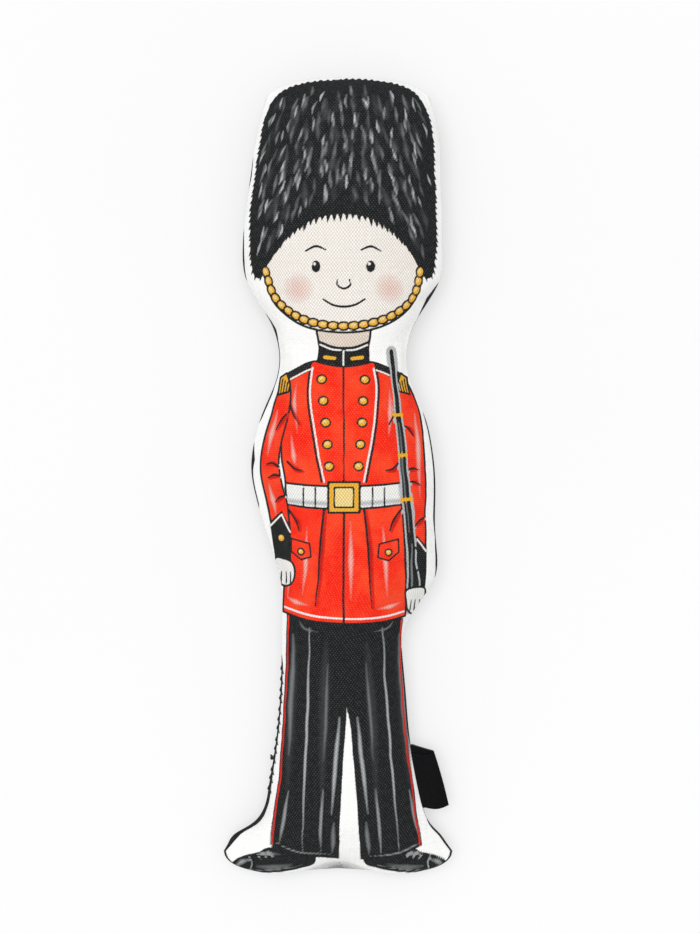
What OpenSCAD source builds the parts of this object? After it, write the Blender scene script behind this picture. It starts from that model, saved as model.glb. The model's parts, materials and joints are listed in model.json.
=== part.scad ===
// Stuffed cloth toy soldier, lying on its back.
// A printed canvas front and a plain dark canvas back are sewn together along one outline,
// turned right side out, filled with fibre and closed by hand. A folded ribbon label is
// caught in the side seam of one leg.
// X runs across the figure, Y from the shoes to the hat, Z up out of the printed front.
// The origin lies on the table, under the middle of the figure.

/* [Lengths from the soles up] */
// Soles to the toe tips
toe_rise = 12; // [9:0.5:15]
// Toe tips to the insteps
instep_rise = 9; // [7:0.5:12]
// Insteps to the ankles
ankle_rise = 10; // [8:0.5:14]
// Ankles to the calves
calf_rise = 29; // [24:0.5:36]
// Calves to the knees
knee_rise = 32; // [26:0.5:40]
// Knees to the tunic hem
hem_rise = 32; // [26:0.5:40]
// Tunic hem to the bent arm's wrist
wrist_rise = 26; // [20:0.5:32]
// Wrist to the forearm
forearm_rise = 26; // [20:0.5:32]
// Forearm to the elbows
elbow_rise = 28; // [22:0.5:34]
// Elbows to the upper arms
upper_arm_rise = 24; // [18:0.5:30]
// Upper arms to the shoulders
shoulder_rise = 19; // [15:0.5:25]
// Shoulders to the neck
neck_rise = 14; // [11:0.5:18]
// Neck to the jaw
jaw_rise = 16; // [12:0.5:20]
// Jaw to the fur beside the face
fur_rise = 23; // [18:0.5:28]
// Fur to the hat's widest level
brim_rise = 24; // [19:0.5:30]
// Widest level to the middle of the hat
hat_rise = 26; // [20:0.5:34]
// Middle of the hat to its upper part
upper_hat_rise = 20; // [16:0.5:26]
// Upper part to the corners of the crown
corner_rise = 17; // [14:0.5:20]
// Corners of the crown to its top
crown_rise = 13; // [9:0.5:16]
// Rise of the sole seam between the shoes
arch_rise = 7; // [4:0.5:8]

/* [Half widths of the outline] */
// Toe on the left
toe_left = 60; // [55:0.5:66]
// Toe on the right
toe_right = 55; // [51:0.5:64]
// Instep on the left
instep_left = 54; // [50:0.5:57]
// Instep on the right
instep_right = 48.5; // [46:0.5:52]
// Ankles
ankle_half = 41.2; // [38:0.2:45]
// Calves
calf_half = 34.7; // [31:0.2:38]
// Knees
knee_half = 31.4; // [28:0.2:36]
// Tunic hem
hem_half = 30.7; // [27:0.2:36]
// Wrist of the bent arm on the left
wrist_left = 31.6; // [29:0.2:38]
// Forearm of the bent arm on the left
forearm_left = 39.5; // [36:0.2:44]
// Cuff of the straight arm on the right
cuff_right = 46; // [42:0.2:50]
// Forearm of the straight arm on the right
forearm_right = 46; // [42:0.2:50]
// Elbows
elbow_half = 45.8; // [42:0.2:50]
// Upper arms
upper_arm_half = 41.7; // [38:0.2:46]
// Shoulders
shoulder_half = 34; // [31:0.2:38]
// Neck
neck_half = 31.8; // [28:0.2:35]
// Jaw
jaw_half = 35.8; // [33:0.2:42]
// Fur beside the face
fur_half = 48.7; // [45:0.2:53]
// Hat at its widest
brim_half = 49.6; // [46:0.2:54]
// Middle of the hat
hat_half = 47.5; // [44:0.2:52]
// Upper part of the hat
upper_hat_half = 45.8; // [42:0.2:50]
// Corners of the crown
corner_half = 41.5; // [38:0.2:46]
// Sideways lean of the upper hat
hat_lean = 2.5; // [0:0.1:4]

/* [Stuffing] */
// Full height of the stuffing at the feet
foot_puff = 14.5; // [13:0.5:17]
// At the ankles
ankle_puff = 16.5; // [13:0.5:20]
// At the knees
knee_puff = 18; // [15:0.5:22]
// At the tunic hem
hem_puff = 19; // [16:0.5:23]
// At the elbows
chest_puff = 22.5; // [19:0.5:27]
// At the neck
neck_puff = 16; // [13:0.5:19]
// At the hat
hat_puff = 23.5; // [20:0.5:28]
// Height of the front above the seam, as a share of the full height
front_share = 1.08; // [0.9:0.01:1.2]
// Depth of the back below the seam, as a share of the full height
back_share = 0.82; // [0.7:0.01:1]
// Depth by which the table flattens the back
rest_cut = 0.5; // [0.3:0.1:1]
// Distance over which the feet swell from the sole seam
sole_round = 24; // [18:1:30]
// Distance over which the hat swells from the crown seam
crown_round = 30; // [22:1:40]

/* [Cloth and seam] */
// Thickness of the canvas
cloth_t = 0.7; // [0.5:0.05:1]
// Width of the seam allowance turned inside
allowance = 6; // [4:0.5:8]
// Gap between the two panels at the seam
seam_gap = 0.2; // [0.1:0.05:0.4]
// Clearance between the filling and the cloth
fill_gap = 0.5; // [0.3:0.05:0.8]
// Thickness of the sewing thread
thread_d = 0.5; // [0.4:0.05:0.8]
// Width of the doubled cloth along the seam's fold
fold_w = 2.4; // [2.2:0.1:3]
// Distance of the machine stitches from the fold
stitch_in = 1.6; // [1.3:0.1:2.5]

/* [Hand-closed opening] */
// Height of its lowest stitch above the soles
close_y = 42; // [38:1:48]
// Number of stitches
close_count = 13; // [8:1:15]
// Distance from stitch to stitch
close_pitch = 5; // [4:0.25:5.5]
// Length of one stitch across the seam
close_l = 3; // [2:0.25:4]
// Slant of the stitches in degrees
close_slant = 18; // [0:1:30]
// Depth by which a stitch sinks into the cloth
close_bite = 0.35; // [0.3:0.05:0.4]
// Diameter of the finishing knot
knot_d = 2.2; // [1.6:0.1:3]
// Stitch that the knot finishes, counted from the lowest
knot_at = 3; // [0:1:7]

/* [Label] */
// Length along the seam
label_w = 32; // [24:0.5:34]
// Reach from the hinge line to the folded edge
label_reach = 12.5; // [10:0.5:16]
// Height of its middle above the soles
label_y = 49.5; // [48:0.5:56]
// Thickness of the ribbon
ribbon_t = 0.4; // [0.3:0.05:0.45]
// Gap between the two layers of the flap
ribbon_gap = 0.3; // [0.2:0.05:0.4]
// Distance of the hinge line from the seam
hinge_out = 1; // [1:0.05:1.3]
// Clearance between the flap and its sewn tail
hinge_gap = 0.1; // [0.05:0.05:0.2]

/* [Hidden] */

CANVAS = "white";
DARK_CANVAS = [0.08, 0.08, 0.09];
FIBRE = [0.95, 0.95, 0.92];
THREAD = [0.1, 0.1, 0.11];
SATIN = [0.05, 0.05, 0.05];

// Grid of the cloth: columns from seam to seam, and rows to each station of the outline
COLUMNS = 12;
ROWS_PER_STATION = 2;
THREAD_SIDES = 6;
SEARCH_STEPS = 24;
$fn = 24;

// Exponents of the stuffed section, of the swell at its ends and of the crown and sole seams
FRONT_PROFILE = [2, 0.66];
BACK_PROFILE = [2.6, 0.56];
END_PROFILE = [2, 0.45];
CROWN_PROFILE = [2.4, 0.5];
SOLE_PROFILE = [4, 0.5];

// Share of the half width that the arch between the shoes covers
ARCH_REACH = 0.45;

// Stations of the outline, from the toes to the corners of the crown
ANKLE = 2;
KNEE = 4;
HEM = 5;
ELBOW = 8;
UPPER_ARM = 9;
SHOULDER = 10;
NECK = 11;
FUR = 13;
BRIM = 14;
LAST = 17;

// Stations over which the bend of the sole and of the crown fades out, and the extra row's
// distance from each end
FADE = 3;
END_ROW = 0.15;

// Shares of a station: what a filling stops short of its neighbour by, and the least step of a path
FILL_TRIM = 0.01;
PATH_STEP = 0.2;

RISES = [
    toe_rise, instep_rise, ankle_rise, calf_rise, knee_rise, hem_rise,
    wrist_rise, forearm_rise, elbow_rise, upper_arm_rise, shoulder_rise,
    neck_rise, jaw_rise, fur_rise, brim_rise, hat_rise, upper_hat_rise, corner_rise
];
LEFT = [
    toe_left, instep_left, ankle_half, calf_half, knee_half, hem_half,
    wrist_left, forearm_left, elbow_half, upper_arm_half, shoulder_half,
    neck_half, jaw_half, fur_half, brim_half,
    hat_half - hat_lean / 2, upper_hat_half - hat_lean, corner_half - hat_lean
];
RIGHT = [
    toe_right, instep_right, ankle_half, calf_half, knee_half, hem_half,
    cuff_right, forearm_right, elbow_half, upper_arm_half, shoulder_half,
    neck_half, jaw_half, fur_half, brim_half,
    hat_half + hat_lean / 2, upper_hat_half + hat_lean, corner_half + hat_lean
];
PUFFS = [
    [0, foot_puff], [ANKLE, ankle_puff], [KNEE, knee_puff], [HEM, hem_puff], [ELBOW, chest_puff],
    [UPPER_ARM, chest_puff], [NECK, neck_puff], [BRIM, hat_puff], [LAST, hat_puff]
];

// Each station: height above the soles, reach to the left and right, height of the front and
// height of the seam above the table. The neck hangs clear between the chest and the hat.
STATIONS = [for (i = 0, y = RISES[0]; i <= LAST; i = i + 1, y = y + (i <= LAST ? RISES[i] : 0))
    [y, LEFT[i], RIGHT[i], lookup(i, PUFFS), hung_puff(i) * back_share - rest_cut]];
figure_h = STATIONS[LAST][0] + crown_rise;

// The figure's bounding box is centred on the origin.
shift_x = (toe_left - toe_right) / 2;
shift_y = -figure_h / 2;

root_r = ribbon_t + ribbon_gap / 2;
close_end = close_y + (close_count - 1) * close_pitch;

function mix(a, b, t) = a + (b - a) * t;
function unit(v) = v / norm(v);
function dome(t, shape) = pow(max(0, 1 - pow(min(abs(t), 1), shape[0])), shape[1]);
function shifted(list, by) = [for (i = list) i + by];
function hung_puff(i) = i > UPPER_ARM && i < FUR
    ? mix(lookup(UPPER_ARM, PUFFS), lookup(FUR, PUFFS), (i - UPPER_ARM) / (FUR - UPPER_ARM))
    : lookup(i, PUFFS);

// Smooth curve through evenly numbered keys, at s
function spline(keys, s) =
    let (n = len(keys), i = min(floor(s), n - 2), t = s - i)
    let (a = keys[max(i - 1, 0)], b = keys[i], c = keys[i + 1], d = keys[min(i + 2, n - 1)])
    0.5 * (2 * b + (c - a) * t + (2 * a - 5 * b + 4 * c - d) * t * t
        + (3 * b - a - 3 * c + d) * t * t * t);
function station(s) = spline(STATIONS, s);
function station_at(y, low = 0, high = LAST, steps = SEARCH_STEPS) =
    let (middle = (low + high) / 2)
    steps == 0 ? middle
    : station(middle)[0] < y ? station_at(y, middle, high, steps - 1)
    : station_at(y, low, middle, steps - 1);

// Fall of the sole seam below the toe tips, and lift of the crown seam above its corners,
// both drawn in by inset
function sole_fall(u, inset) = (toe_rise - inset) * dome(u, SOLE_PROFILE)
    - arch_rise * pow(max(0, 1 - pow(u / ARCH_REACH, 2)), 2);
function crown_lift(u, inset) = (crown_rise - inset) * dome(u, CROWN_PROFILE);
function sole_weight(s) = pow(max(0, 1 - s / FADE), 2);
function crown_weight(s) = pow(max(0, 1 - (LAST - s) / FADE), 2);

// Point of the flat figure, drawn in from the outline by inset:
// u runs from the left seam at -1 to the right seam at 1, and s from the soles to the crown.
function flat_point(u, s, inset = 0) =
    let (k = station(s), half = (k[1] + k[2]) / 2 - inset, middle = (k[2] - k[1]) / 2)
    [middle + u * half + shift_x,
     k[0] + shift_y - sole_weight(s) * sole_fall(u, inset) + crown_weight(s) * crown_lift(u, inset)];

// Point of the seam line, drawn in by inset
function seam_point(u, s, inset = 0) = concat(flat_point(u, s, inset), [station(s)[4]]);
function side_point(side, y) = seam_point(side, station_at(y));

// Share of the full height that the stuffing reaches
function swell(u, s, profile) =
    let (y = flat_point(u, s)[1])
    let (from_sole = min(1, (y - flat_point(u, 0)[1]) / sole_round))
    let (from_crown = min(1, (flat_point(u, LAST)[1] - y) / crown_round))
    dome(u, profile) * dome(1 - from_sole, END_PROFILE) * dome(1 - from_crown, END_PROFILE);

// Grid of a stuffed surface. side is 1 on the front and -1 on the back, base its distance from the
// seam's level at the rim, loss what the full height is lowered by, and floor its lowest level.
function stuffed_point(u, s, side, inset, base, loss, floor) =
    let (p = seam_point(u, s, inset), full = station(s)[3] * (side > 0 ? front_share : back_share) - loss)
    let (rise = full * swell(u, s, side > 0 ? FRONT_PROFILE : BACK_PROFILE))
    [p[0], p[1], max(p[2] + side * (base + rise), floor)];
function stuffed_grid(rows, side, inset, base, loss, floor) =
    [for (s = rows) for (i = [0 : COLUMNS])
        stuffed_point(column(i), s, side, inset, base, loss, floor)];

// Columns crowd towards the seams, where the cloth is steepest.
function column(i) = sin(90 * (2 * i / COLUMNS - 1));
function row_list(from, to) = concat(
    [from],
    from == 0 ? [END_ROW] : [],
    [for (j = [1 : (to - from) * ROWS_PER_STATION - 1]) from + j / ROWS_PER_STATION],
    to == LAST ? [LAST - END_ROW] : [],
    [to]);

// Indices round the rim of a grid, from the left end of its first row
function rim(rows) = concat(
    [for (i = [0 : COLUMNS]) i],
    [for (j = [1 : rows]) j * (COLUMNS + 1) + COLUMNS],
    [for (i = [1 : COLUMNS]) rows * (COLUMNS + 1) + COLUMNS - i],
    [for (j = [1 : rows - 1]) (rows - j) * (COLUMNS + 1)]);

// Triangles of a grid, split towards its corners, and of a band between two loops
function turned(faces, flip) = flip ? [for (f = faces) [f[0], f[2], f[1]]] : faces;
function grid_faces(rows, first, flip) = turned(
    [for (j = [0 : rows - 1]) for (i = [0 : COLUMNS - 1]) for (half = [0, 1])
        let (a = first + j * (COLUMNS + 1) + i, b = a + 1, d = b + COLUMNS, c = d + 1)
        (2 * i < COLUMNS) == (2 * j < rows)
            ? (half == 0 ? [a, c, b] : [a, d, c])
            : (half == 0 ? [a, d, b] : [b, d, c])], flip);
function band_faces(from, to, flip) = turned(
    [for (i = [0 : len(from) - 1]) for (half = [0, 1])
        let (j = (i + 1) % len(from))
        half == 0 ? [from[i], from[j], to[j]] : [from[i], to[j], to[i]]], flip);

// One cloth panel: the stuffed surface, its inside, and the allowance turned in round the seam
module panel(side) {
    rows = row_list(0, LAST);
    last_row = len(rows) - 1;
    base = seam_gap / 2;
    outside = stuffed_grid(rows, side, 0, base, 0, 0);
    inside = stuffed_grid(rows, side, fold_w, base + cloth_t, 2 * cloth_t, cloth_t);
    tucked = stuffed_grid(rows, side, allowance, base, 0, 0);
    loop = rim(last_row);
    low_edge = [for (i = loop) [tucked[i][0], tucked[i][1], outside[i][2]]];
    high_edge = [for (p = low_edge) p + [0, 0, side * cloth_t]];
    n = len(outside);
    low_loop = [for (i = [0 : len(loop) - 1]) 2 * n + i];
    high_loop = shifted(low_loop, len(loop));
    flip = side < 0;
    polyhedron(
        points = concat(outside, inside, low_edge, high_edge),
        faces = concat(
            grid_faces(last_row, 0, flip),
            grid_faces(last_row, n, !flip),
            band_faces(loop, low_loop, flip),
            band_faces(low_loop, high_loop, flip),
            band_faces(high_loop, shifted(loop, n), flip)),
        convexity = 10);
}

// Fibre between two stations. An end inside the figure stops just short of its neighbour.
module filling(from, to) {
    inset = allowance + fill_gap;
    rim_h = cloth_t;
    loss = rim_h + cloth_t + fill_gap;
    low = from > 0 ? from + FILL_TRIM : from;
    high = to < LAST ? to - FILL_TRIM : to;
    rows = [for (s = row_list(from, to)) max(low, min(high, s))];
    last_row = len(rows) - 1;
    front = stuffed_grid(rows, 1, inset, rim_h, loss, 0);
    back = stuffed_grid(rows, -1, inset, rim_h, loss, cloth_t + fill_gap);
    loop = rim(last_row);
    n = len(front);
    polyhedron(
        points = concat(front, back),
        faces = concat(
            grid_faces(last_row, 0, false),
            grid_faces(last_row, n, true),
            band_faces(loop, shifted(loop, n), false)),
        convexity = 4);
}

// Round thread along a path
module thread_along(path) {
    last = len(path) - 1;
    rings = [for (k = [0 : last])
        let (along = unit(path[min(k + 1, last)] - path[max(k - 1, 0)]))
        let (across = unit(cross(along, [0, 0, 1])), up = cross(across, along))
        for (i = [0 : THREAD_SIDES - 1])
            let (a = 360 * i / THREAD_SIDES)
            path[k] + thread_d / 2 * (cos(a) * across + sin(a) * up)];
    walls = [for (k = [0 : last - 1])
        for (f = band_faces(ring_loop(k), ring_loop(k + 1), true)) f];
    first_cap = [for (i = [1 : THREAD_SIDES - 2]) [0, i, i + 1]];
    last_cap = [for (f = first_cap) shifted([f[0], f[2], f[1]], last * THREAD_SIDES)];
    polyhedron(points = rings, faces = concat(walls, first_cap, last_cap), convexity = 10);
}
function ring_loop(k) = [for (i = [0 : THREAD_SIDES - 1]) k * THREAD_SIDES + i];

// Machine seam, from the upper end of the hand-closed opening round the figure to its lower end
function seam_path() =
    let (upper = station_at(close_end + close_pitch), lower = station_at(close_y - close_pitch))
    concat(
        [for (s = concat([upper], [for (s = row_list(0, LAST)) if (s > upper + PATH_STEP) s]))
            seam_point(-1, s, stitch_in)],
        [for (i = [1 : COLUMNS]) seam_point(column(i), LAST, stitch_in)],
        [for (s = row_list(0, LAST)) if (s > 0) seam_point(1, LAST - s, stitch_in)],
        [for (i = [1 : COLUMNS]) seam_point(column(COLUMNS - i), 0, stitch_in)],
        [for (s = concat([for (s = row_list(0, LAST)) if (s > 0 && s < lower - PATH_STEP) s], [lower]))
            seam_point(-1, s, stitch_in)]);

// Frame of the label: its hinge line follows the seam, and its X axis points away from the figure.
module on_hinge() {
    low = side_point(1, label_y - label_w / 2);
    high = side_point(1, label_y + label_w / 2);
    along = unit(high - low);
    out = unit(cross(along, [0, 0, 1]));
    up = cross(out, along);
    p = (low + high) / 2 + hinge_out * out;
    multmatrix([for (i = [0 : 2]) [out[i], along[i], up[i], p[i]]])
        children();
}

// Flat outline with round ends, from the hinge line to reach
module ribbon_loop(r, reach) {
    circle(r);
    translate([0, -r])
        square([reach, 2 * r]);
    translate([reach, 0])
        circle(r);
}

module front_panel() {
    color(CANVAS) panel(1);
}

module back_panel() {
    color(DARK_CANVAS) panel(-1);
}

module filling_feet() {
    color(FIBRE) filling(0, ANKLE);
}

module filling_legs() {
    color(FIBRE) filling(ANKLE, HEM);
}

module filling_torso() {
    color(FIBRE) filling(HEM, SHOULDER);
}

module filling_head() {
    color(FIBRE) filling(SHOULDER, FUR);
}

module filling_hat() {
    color(FIBRE) filling(FUR, LAST);
}

module seam_thread() {
    color(THREAD) thread_along(seam_path());
}

module closing_stitches() {
    color(THREAD)
        for (k = [0 : close_count - 1])
            translate(side_point(-1, close_y + k * close_pitch) + [close_bite - thread_d / 2, 0, 0])
                rotate([k % 2 == 0 ? close_slant : -close_slant, 0, 0])
                    cylinder(h = close_l, d = thread_d, center = true);
}

module closing_knot() {
    stitch = side_point(-1, close_y + knot_at * close_pitch);
    color(THREAD)
        translate(stitch + [close_bite - knot_d / 2, close_pitch / 2, 0])
            sphere(d = knot_d);
}

module label_tail() {
    color(SATIN)
        on_hinge()
            translate([-root_r - hinge_gap - allowance, -label_w / 2, -ribbon_t])
                cube([allowance, label_w, 2 * ribbon_t]);
}

module label_flap() {
    color(SATIN)
        on_hinge()
            rotate([90, 0, 0])
                linear_extrude(label_w, center = true)
                    difference() {
                        ribbon_loop(root_r, label_reach - root_r);
                        translate([root_r, 0])
                            ribbon_loop(ribbon_gap / 2, label_reach - 2 * root_r);
                    }
}

front_panel();
back_panel();
filling_feet();
filling_legs();
filling_torso();
filling_head();
filling_hat();
seam_thread();
closing_stitches();
closing_knot();
label_tail();
label_flap();
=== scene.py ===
"""Stuffed cloth toy soldier lying on a white table: printed canvas front, black canvas back."""
import json
import math

import bpy
import bmesh
import numpy as np
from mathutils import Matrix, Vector
from mathutils.bvhtree import BVHTree


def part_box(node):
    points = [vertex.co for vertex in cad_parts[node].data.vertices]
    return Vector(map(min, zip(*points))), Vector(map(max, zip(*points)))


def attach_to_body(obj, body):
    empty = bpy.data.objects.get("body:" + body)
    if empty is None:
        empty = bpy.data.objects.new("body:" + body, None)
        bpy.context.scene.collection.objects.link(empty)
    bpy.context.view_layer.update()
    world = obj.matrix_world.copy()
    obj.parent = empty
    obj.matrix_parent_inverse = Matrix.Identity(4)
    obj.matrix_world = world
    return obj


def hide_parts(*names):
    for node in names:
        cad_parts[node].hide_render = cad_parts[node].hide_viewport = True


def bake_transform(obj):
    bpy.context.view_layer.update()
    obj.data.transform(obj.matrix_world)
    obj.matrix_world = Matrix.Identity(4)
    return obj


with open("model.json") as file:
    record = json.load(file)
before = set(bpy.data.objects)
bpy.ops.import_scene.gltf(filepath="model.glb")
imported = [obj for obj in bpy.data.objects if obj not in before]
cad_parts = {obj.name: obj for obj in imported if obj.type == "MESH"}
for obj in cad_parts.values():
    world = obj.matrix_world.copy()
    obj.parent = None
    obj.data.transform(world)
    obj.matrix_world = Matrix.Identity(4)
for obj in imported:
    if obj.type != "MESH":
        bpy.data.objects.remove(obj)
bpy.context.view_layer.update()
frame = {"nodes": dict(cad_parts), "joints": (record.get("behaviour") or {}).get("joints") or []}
scene = bpy.context.scene
MM = 0.001

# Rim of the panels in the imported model: columns along the sole and the crown, rows along each side
RIM_COLUMNS = 12
RIM_ROWS = 36

# Grid on which the cloth is blown up, its crowding at the seams, and how much finer the finished cloth is
SIM_COLUMNS = 36
SIM_ROWS = 150
CROWDING = 0.3
FINE = 4

# Cloth and seam, in millimetres like all sizes below
CLOTH_T = 0.7
LIP = 0.5
SEAM_GAP = 0.16
FOLD_IN = 1.0
ALLOWANCE = 5.5
SOLE_FADE = 48
CROWN_FADE = 63

# Stuffing: the cloth under pressure, the most that a point moves, and how softly the back lies
SIM_FRAMES = 30
CLOTH_SETTINGS = {
    "quality": 5, "mass": 0.05, "tension_stiffness": 40, "compression_stiffness": 40, "shear_stiffness": 20,
    "bending_stiffness": 0.5, "air_damping": 4, "vertex_group_mass": "seam", "shrink_min": -0.012,
    "use_pressure": True, "uniform_pressure_force": 9}
START_SMOOTHING = 6
MOVE_SMOOTHING = 2
MOST_MOVE = 5
FLOOR_SOFTNESS = 1.2

# The picture's middle line and its soles, and how much of the cloth's curve its width follows
FIGURE_X = 2.5
FIGURE_Y = -200
PRINT_SPREAD = 0.5
SPREAD_ROWS = 12

# How far the front edge is rolled in, so that the black back shows: (height, width)
LEFT_ROLL = [
    (8, 0.1), (14, 1.6), (19, 3.2), (26, 2.8), (33, 1.7), (56, 0.9), (64, 0.8), (106, 0.8), (112, 0.1),
    (184, 0.1), (187, 0.6), (200, 0.7), (204, 0.9), (209, 1.7), (214, 0.8), (218, 0.1), (227, 0.1),
    (230, 0.7), (236, 0.9), (242, 0.8), (246, 0.4), (264, 0.4), (268, 0.5), (274, 1.2), (279, 0.6),
    (283, 0.1), (298, 0.1), (301, 0.5), (308, 0.9), (318, 0.6), (326, 0.1), (345, 0.2), (350, 0.6),
    (356, 0.4), (362, 0.1), (400, 0)]
RIGHT_ROLL = [
    (8, 0), (12, 1.1), (23, 1.4), (29, 0.2), (66, 0.4), (74, 0.9), (110, 0.8), (115, 0.1), (149, 0.1),
    (153, 0.6), (157, 1.0), (165, 0.8), (170, 0.4), (175, 0.6), (180, 0.9), (200, 0.8), (214, 0.7),
    (228, 0.6), (234, 0.1), (281, 0.2), (284, 0.8), (290, 1.9), (295, 1.0), (298, 0.1), (400, 0)]
BACK_IN = 0.3


# Curves and grids

def cubic(knots, values, at):
    """Natural cubic spline through values at knots, read at the places in at."""
    n = len(knots)
    h = np.diff(knots)
    slope = np.diff(values, axis=0) / h[:, None]
    system = np.eye(n)
    right = np.zeros_like(values)
    for i in range(1, n - 1):
        system[i, i - 1:i + 2] = h[i - 1], 2 * (h[i - 1] + h[i]), h[i]
        right[i] = 6 * (slope[i] - slope[i - 1])
    bend = np.linalg.solve(system, right)
    k = np.clip(np.searchsorted(knots, at, side="right") - 1, 0, n - 2)
    a = ((knots[k + 1] - at) / h[k])[:, None]
    b = 1 - a
    return (a * values[k] + b * values[k + 1]
            + ((a ** 3 - a) * bend[k] + (b ** 3 - b) * bend[k + 1]) * (h[k] ** 2)[:, None] / 6)


def lengths(points, axis=0):
    """Distance of each point from the first one, along lines that run with an axis."""
    steps = np.linalg.norm(np.diff(points, axis=axis), axis=-1)
    return np.insert(np.cumsum(steps, axis=axis), 0, 0, axis=axis)


def read(at, run, points):
    """Places on a line, where run tells how far along each of its points lies."""
    return np.stack([np.interp(at, run, column) for column in points.T], -1)


def seam_loop():
    """Corners of the front panel's outer seam edge, in order from the left toe along the sole."""
    bm = bmesh.new()
    bm.from_mesh(frame["nodes"]["front_panel"].data)
    bmesh.ops.remove_doubles(bm, verts=bm.verts, dist=1e-6)
    links = {}
    for edge in bm.edges:
        levels = sorted(face.normal.z for face in edge.link_faces)
        if len(levels) == 2 and levels[0] < -0.9 and levels[1] > 0:
            for a, b in (edge.verts, reversed(edge.verts)):
                links.setdefault(a.index, []).append(b.index)
    places = {v.index: np.array(v.co) / MM for v in bm.verts}
    bm.free()
    start = min(links, key=lambda i: places[i][0])
    loop = [start, min(links[start], key=lambda i: places[i][1])]
    while loop[-1] != start:
        loop.append(next(i for i in links[loop[-1]] if i != loop[-2]))
    return np.array([places[i] for i in loop])


def outline():
    """Knots and points of the two sides, and points of the sole and crown from left to right."""
    loop = seam_loop()
    ends = np.cumsum([0, RIM_COLUMNS, RIM_ROWS, RIM_COLUMNS, RIM_ROWS])
    sole, right, crown, left = [loop[a:b + 1] for a, b in zip(ends, ends[1:])]
    crown, left = crown[::-1], left[::-1]
    knots = (left[:, 1] + right[:, 1]) / 2
    return knots - knots[0], left, right, sole, crown


KNOTS, LEFT, RIGHT, SOLE, CROWN = outline()
LENGTH = KNOTS[-1]


def columns(count):
    """Places from -1 at the left seam to 1 at the right, a little closer at the seams."""
    t = np.linspace(-1, 1, count + 1)
    return (1 - CROWDING) * t + CROWDING * np.sin(t * math.pi / 2)


def end_curve(points, u):
    """How far the sole or crown seam runs above or below the line between its corners."""
    turn = np.arcsin(np.clip(u, -1, 1)) / math.pi + 0.5
    height = cubic(np.linspace(0, 1, RIM_COLUMNS + 1), points[:, 1:2], turn)[:, 0]
    return height - (points[0, 1] + (points[-1, 1] - points[0, 1]) * (u + 1) / 2)


def front_roll(height):
    """Widths by which the front edge is rolled in on the left and on the right."""
    return [np.interp(height, *zip(*roll)) for roll in (LEFT_ROLL, RIGHT_ROLL)]


def back_roll(height):
    """The back edge hides under the front edge, except where the front is rolled in."""
    return [np.maximum(0, BACK_IN - roll) for roll in front_roll(height)]


def flat_grid(rows, cols, roll, inset=0, of_front=0):
    """Places of the flat figure, drawn in from its outline, at the level of the seam."""
    t = np.linspace(0, LENGTH, rows + 1)
    u = columns(cols)
    left = cubic(KNOTS, LEFT, t)
    right = cubic(KNOTS, RIGHT, t)
    height = (left[:, 1] + right[:, 1]) / 2 - FIGURE_Y
    left_in, right_in = [
        (own + of_front * front + inset)[:, None] for own, front in zip(roll(height), front_roll(height))]
    share = (u + 1) / 2
    x = (left[:, :1] + left_in) * (1 - share) + (right[:, :1] - right_in) * share
    y = left[:, 1:2] * (1 - share) + right[:, 1:2] * share
    low = np.clip(1 - t / SOLE_FADE, 0, 1)[:, None] ** 2
    high = np.clip(1 - (LENGTH - t) / CROWN_FADE, 0, 1)[:, None] ** 2
    round_in = inset * (1 - np.abs(u) ** 4) ** 0.5
    y = y + low * (end_curve(SOLE, u) + round_in) + high * (end_curve(CROWN, u) - round_in)
    z = np.repeat((left[:, 2:3] + right[:, 2:3]) / 2, cols + 1, axis=1)
    return np.stack([x, y, z], axis=-1)


def rim_ids(rows, cols):
    """Indices round the rim of a grid, from its left toe along the sole."""
    ids = np.arange((rows + 1) * (cols + 1)).reshape(rows + 1, cols + 1)
    return np.concatenate([ids[0, :-1], ids[:-1, -1], ids[-1, :0:-1], ids[:0:-1, 0]])


RIM = rim_ids(SIM_ROWS, SIM_COLUMNS)


def rim_of(grid):
    return grid.reshape(-1, 3)[rim_ids(grid.shape[0] - 1, grid.shape[1] - 1)]


def grid_quads(rows, cols, first=0):
    ids = first + np.arange((rows + 1) * (cols + 1)).reshape(rows + 1, cols + 1)
    return np.stack([ids[:-1, :-1], ids[:-1, 1:], ids[1:, 1:], ids[1:, :-1]], axis=-1).reshape(-1, 4)


def finer(grid, factor):
    """The same surface on a grid that is factor times as fine, along smooth curves."""
    for axis in (0, 1):
        grid = np.moveaxis(grid, axis, 0)
        n = len(grid)
        at = np.linspace(0, n - 1, (n - 1) * factor + 1)
        grid = cubic(np.arange(n), grid.reshape(n, -1), at).reshape((len(at),) + grid.shape[1:])
        grid = np.moveaxis(grid, 0, axis)
    return grid


def smooth_grid(grid, times):
    """Evens out a grid inside its rim."""
    for _ in range(times):
        inner = (grid[:-2, 1:-1] + grid[2:, 1:-1] + grid[1:-1, :-2] + grid[1:-1, 2:]) / 4
        grid = grid.copy()
        grid[1:-1, 1:-1] = inner
    return grid


def normals(grid):
    """Unit normals of a grid, on its upper side."""
    n = np.cross(np.gradient(grid, axis=1), np.gradient(grid, axis=0))
    return n / np.maximum(np.linalg.norm(n, axis=-1, keepdims=True), 1e-9)


# Cloth

# Height over or under the table, in metres, from which a panel's outer face is looked for
LOOK_FROM = 0.2


def cad_heights(node, grid, side):
    """The grid raised or lowered to a panel's outer face."""
    mesh = frame["nodes"][node].data
    tree = BVHTree.FromPolygons([v.co for v in mesh.vertices], [p.vertices for p in mesh.polygons])
    found = grid.copy()
    for place in found.reshape(-1, 3):
        start = Vector((place[0] * MM, place[1] * MM, LOOK_FROM * side))
        hit = tree.ray_cast(start, Vector((0, 0, -side)))[0]
        if hit:
            place[2] = hit.z / MM
    return found


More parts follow.
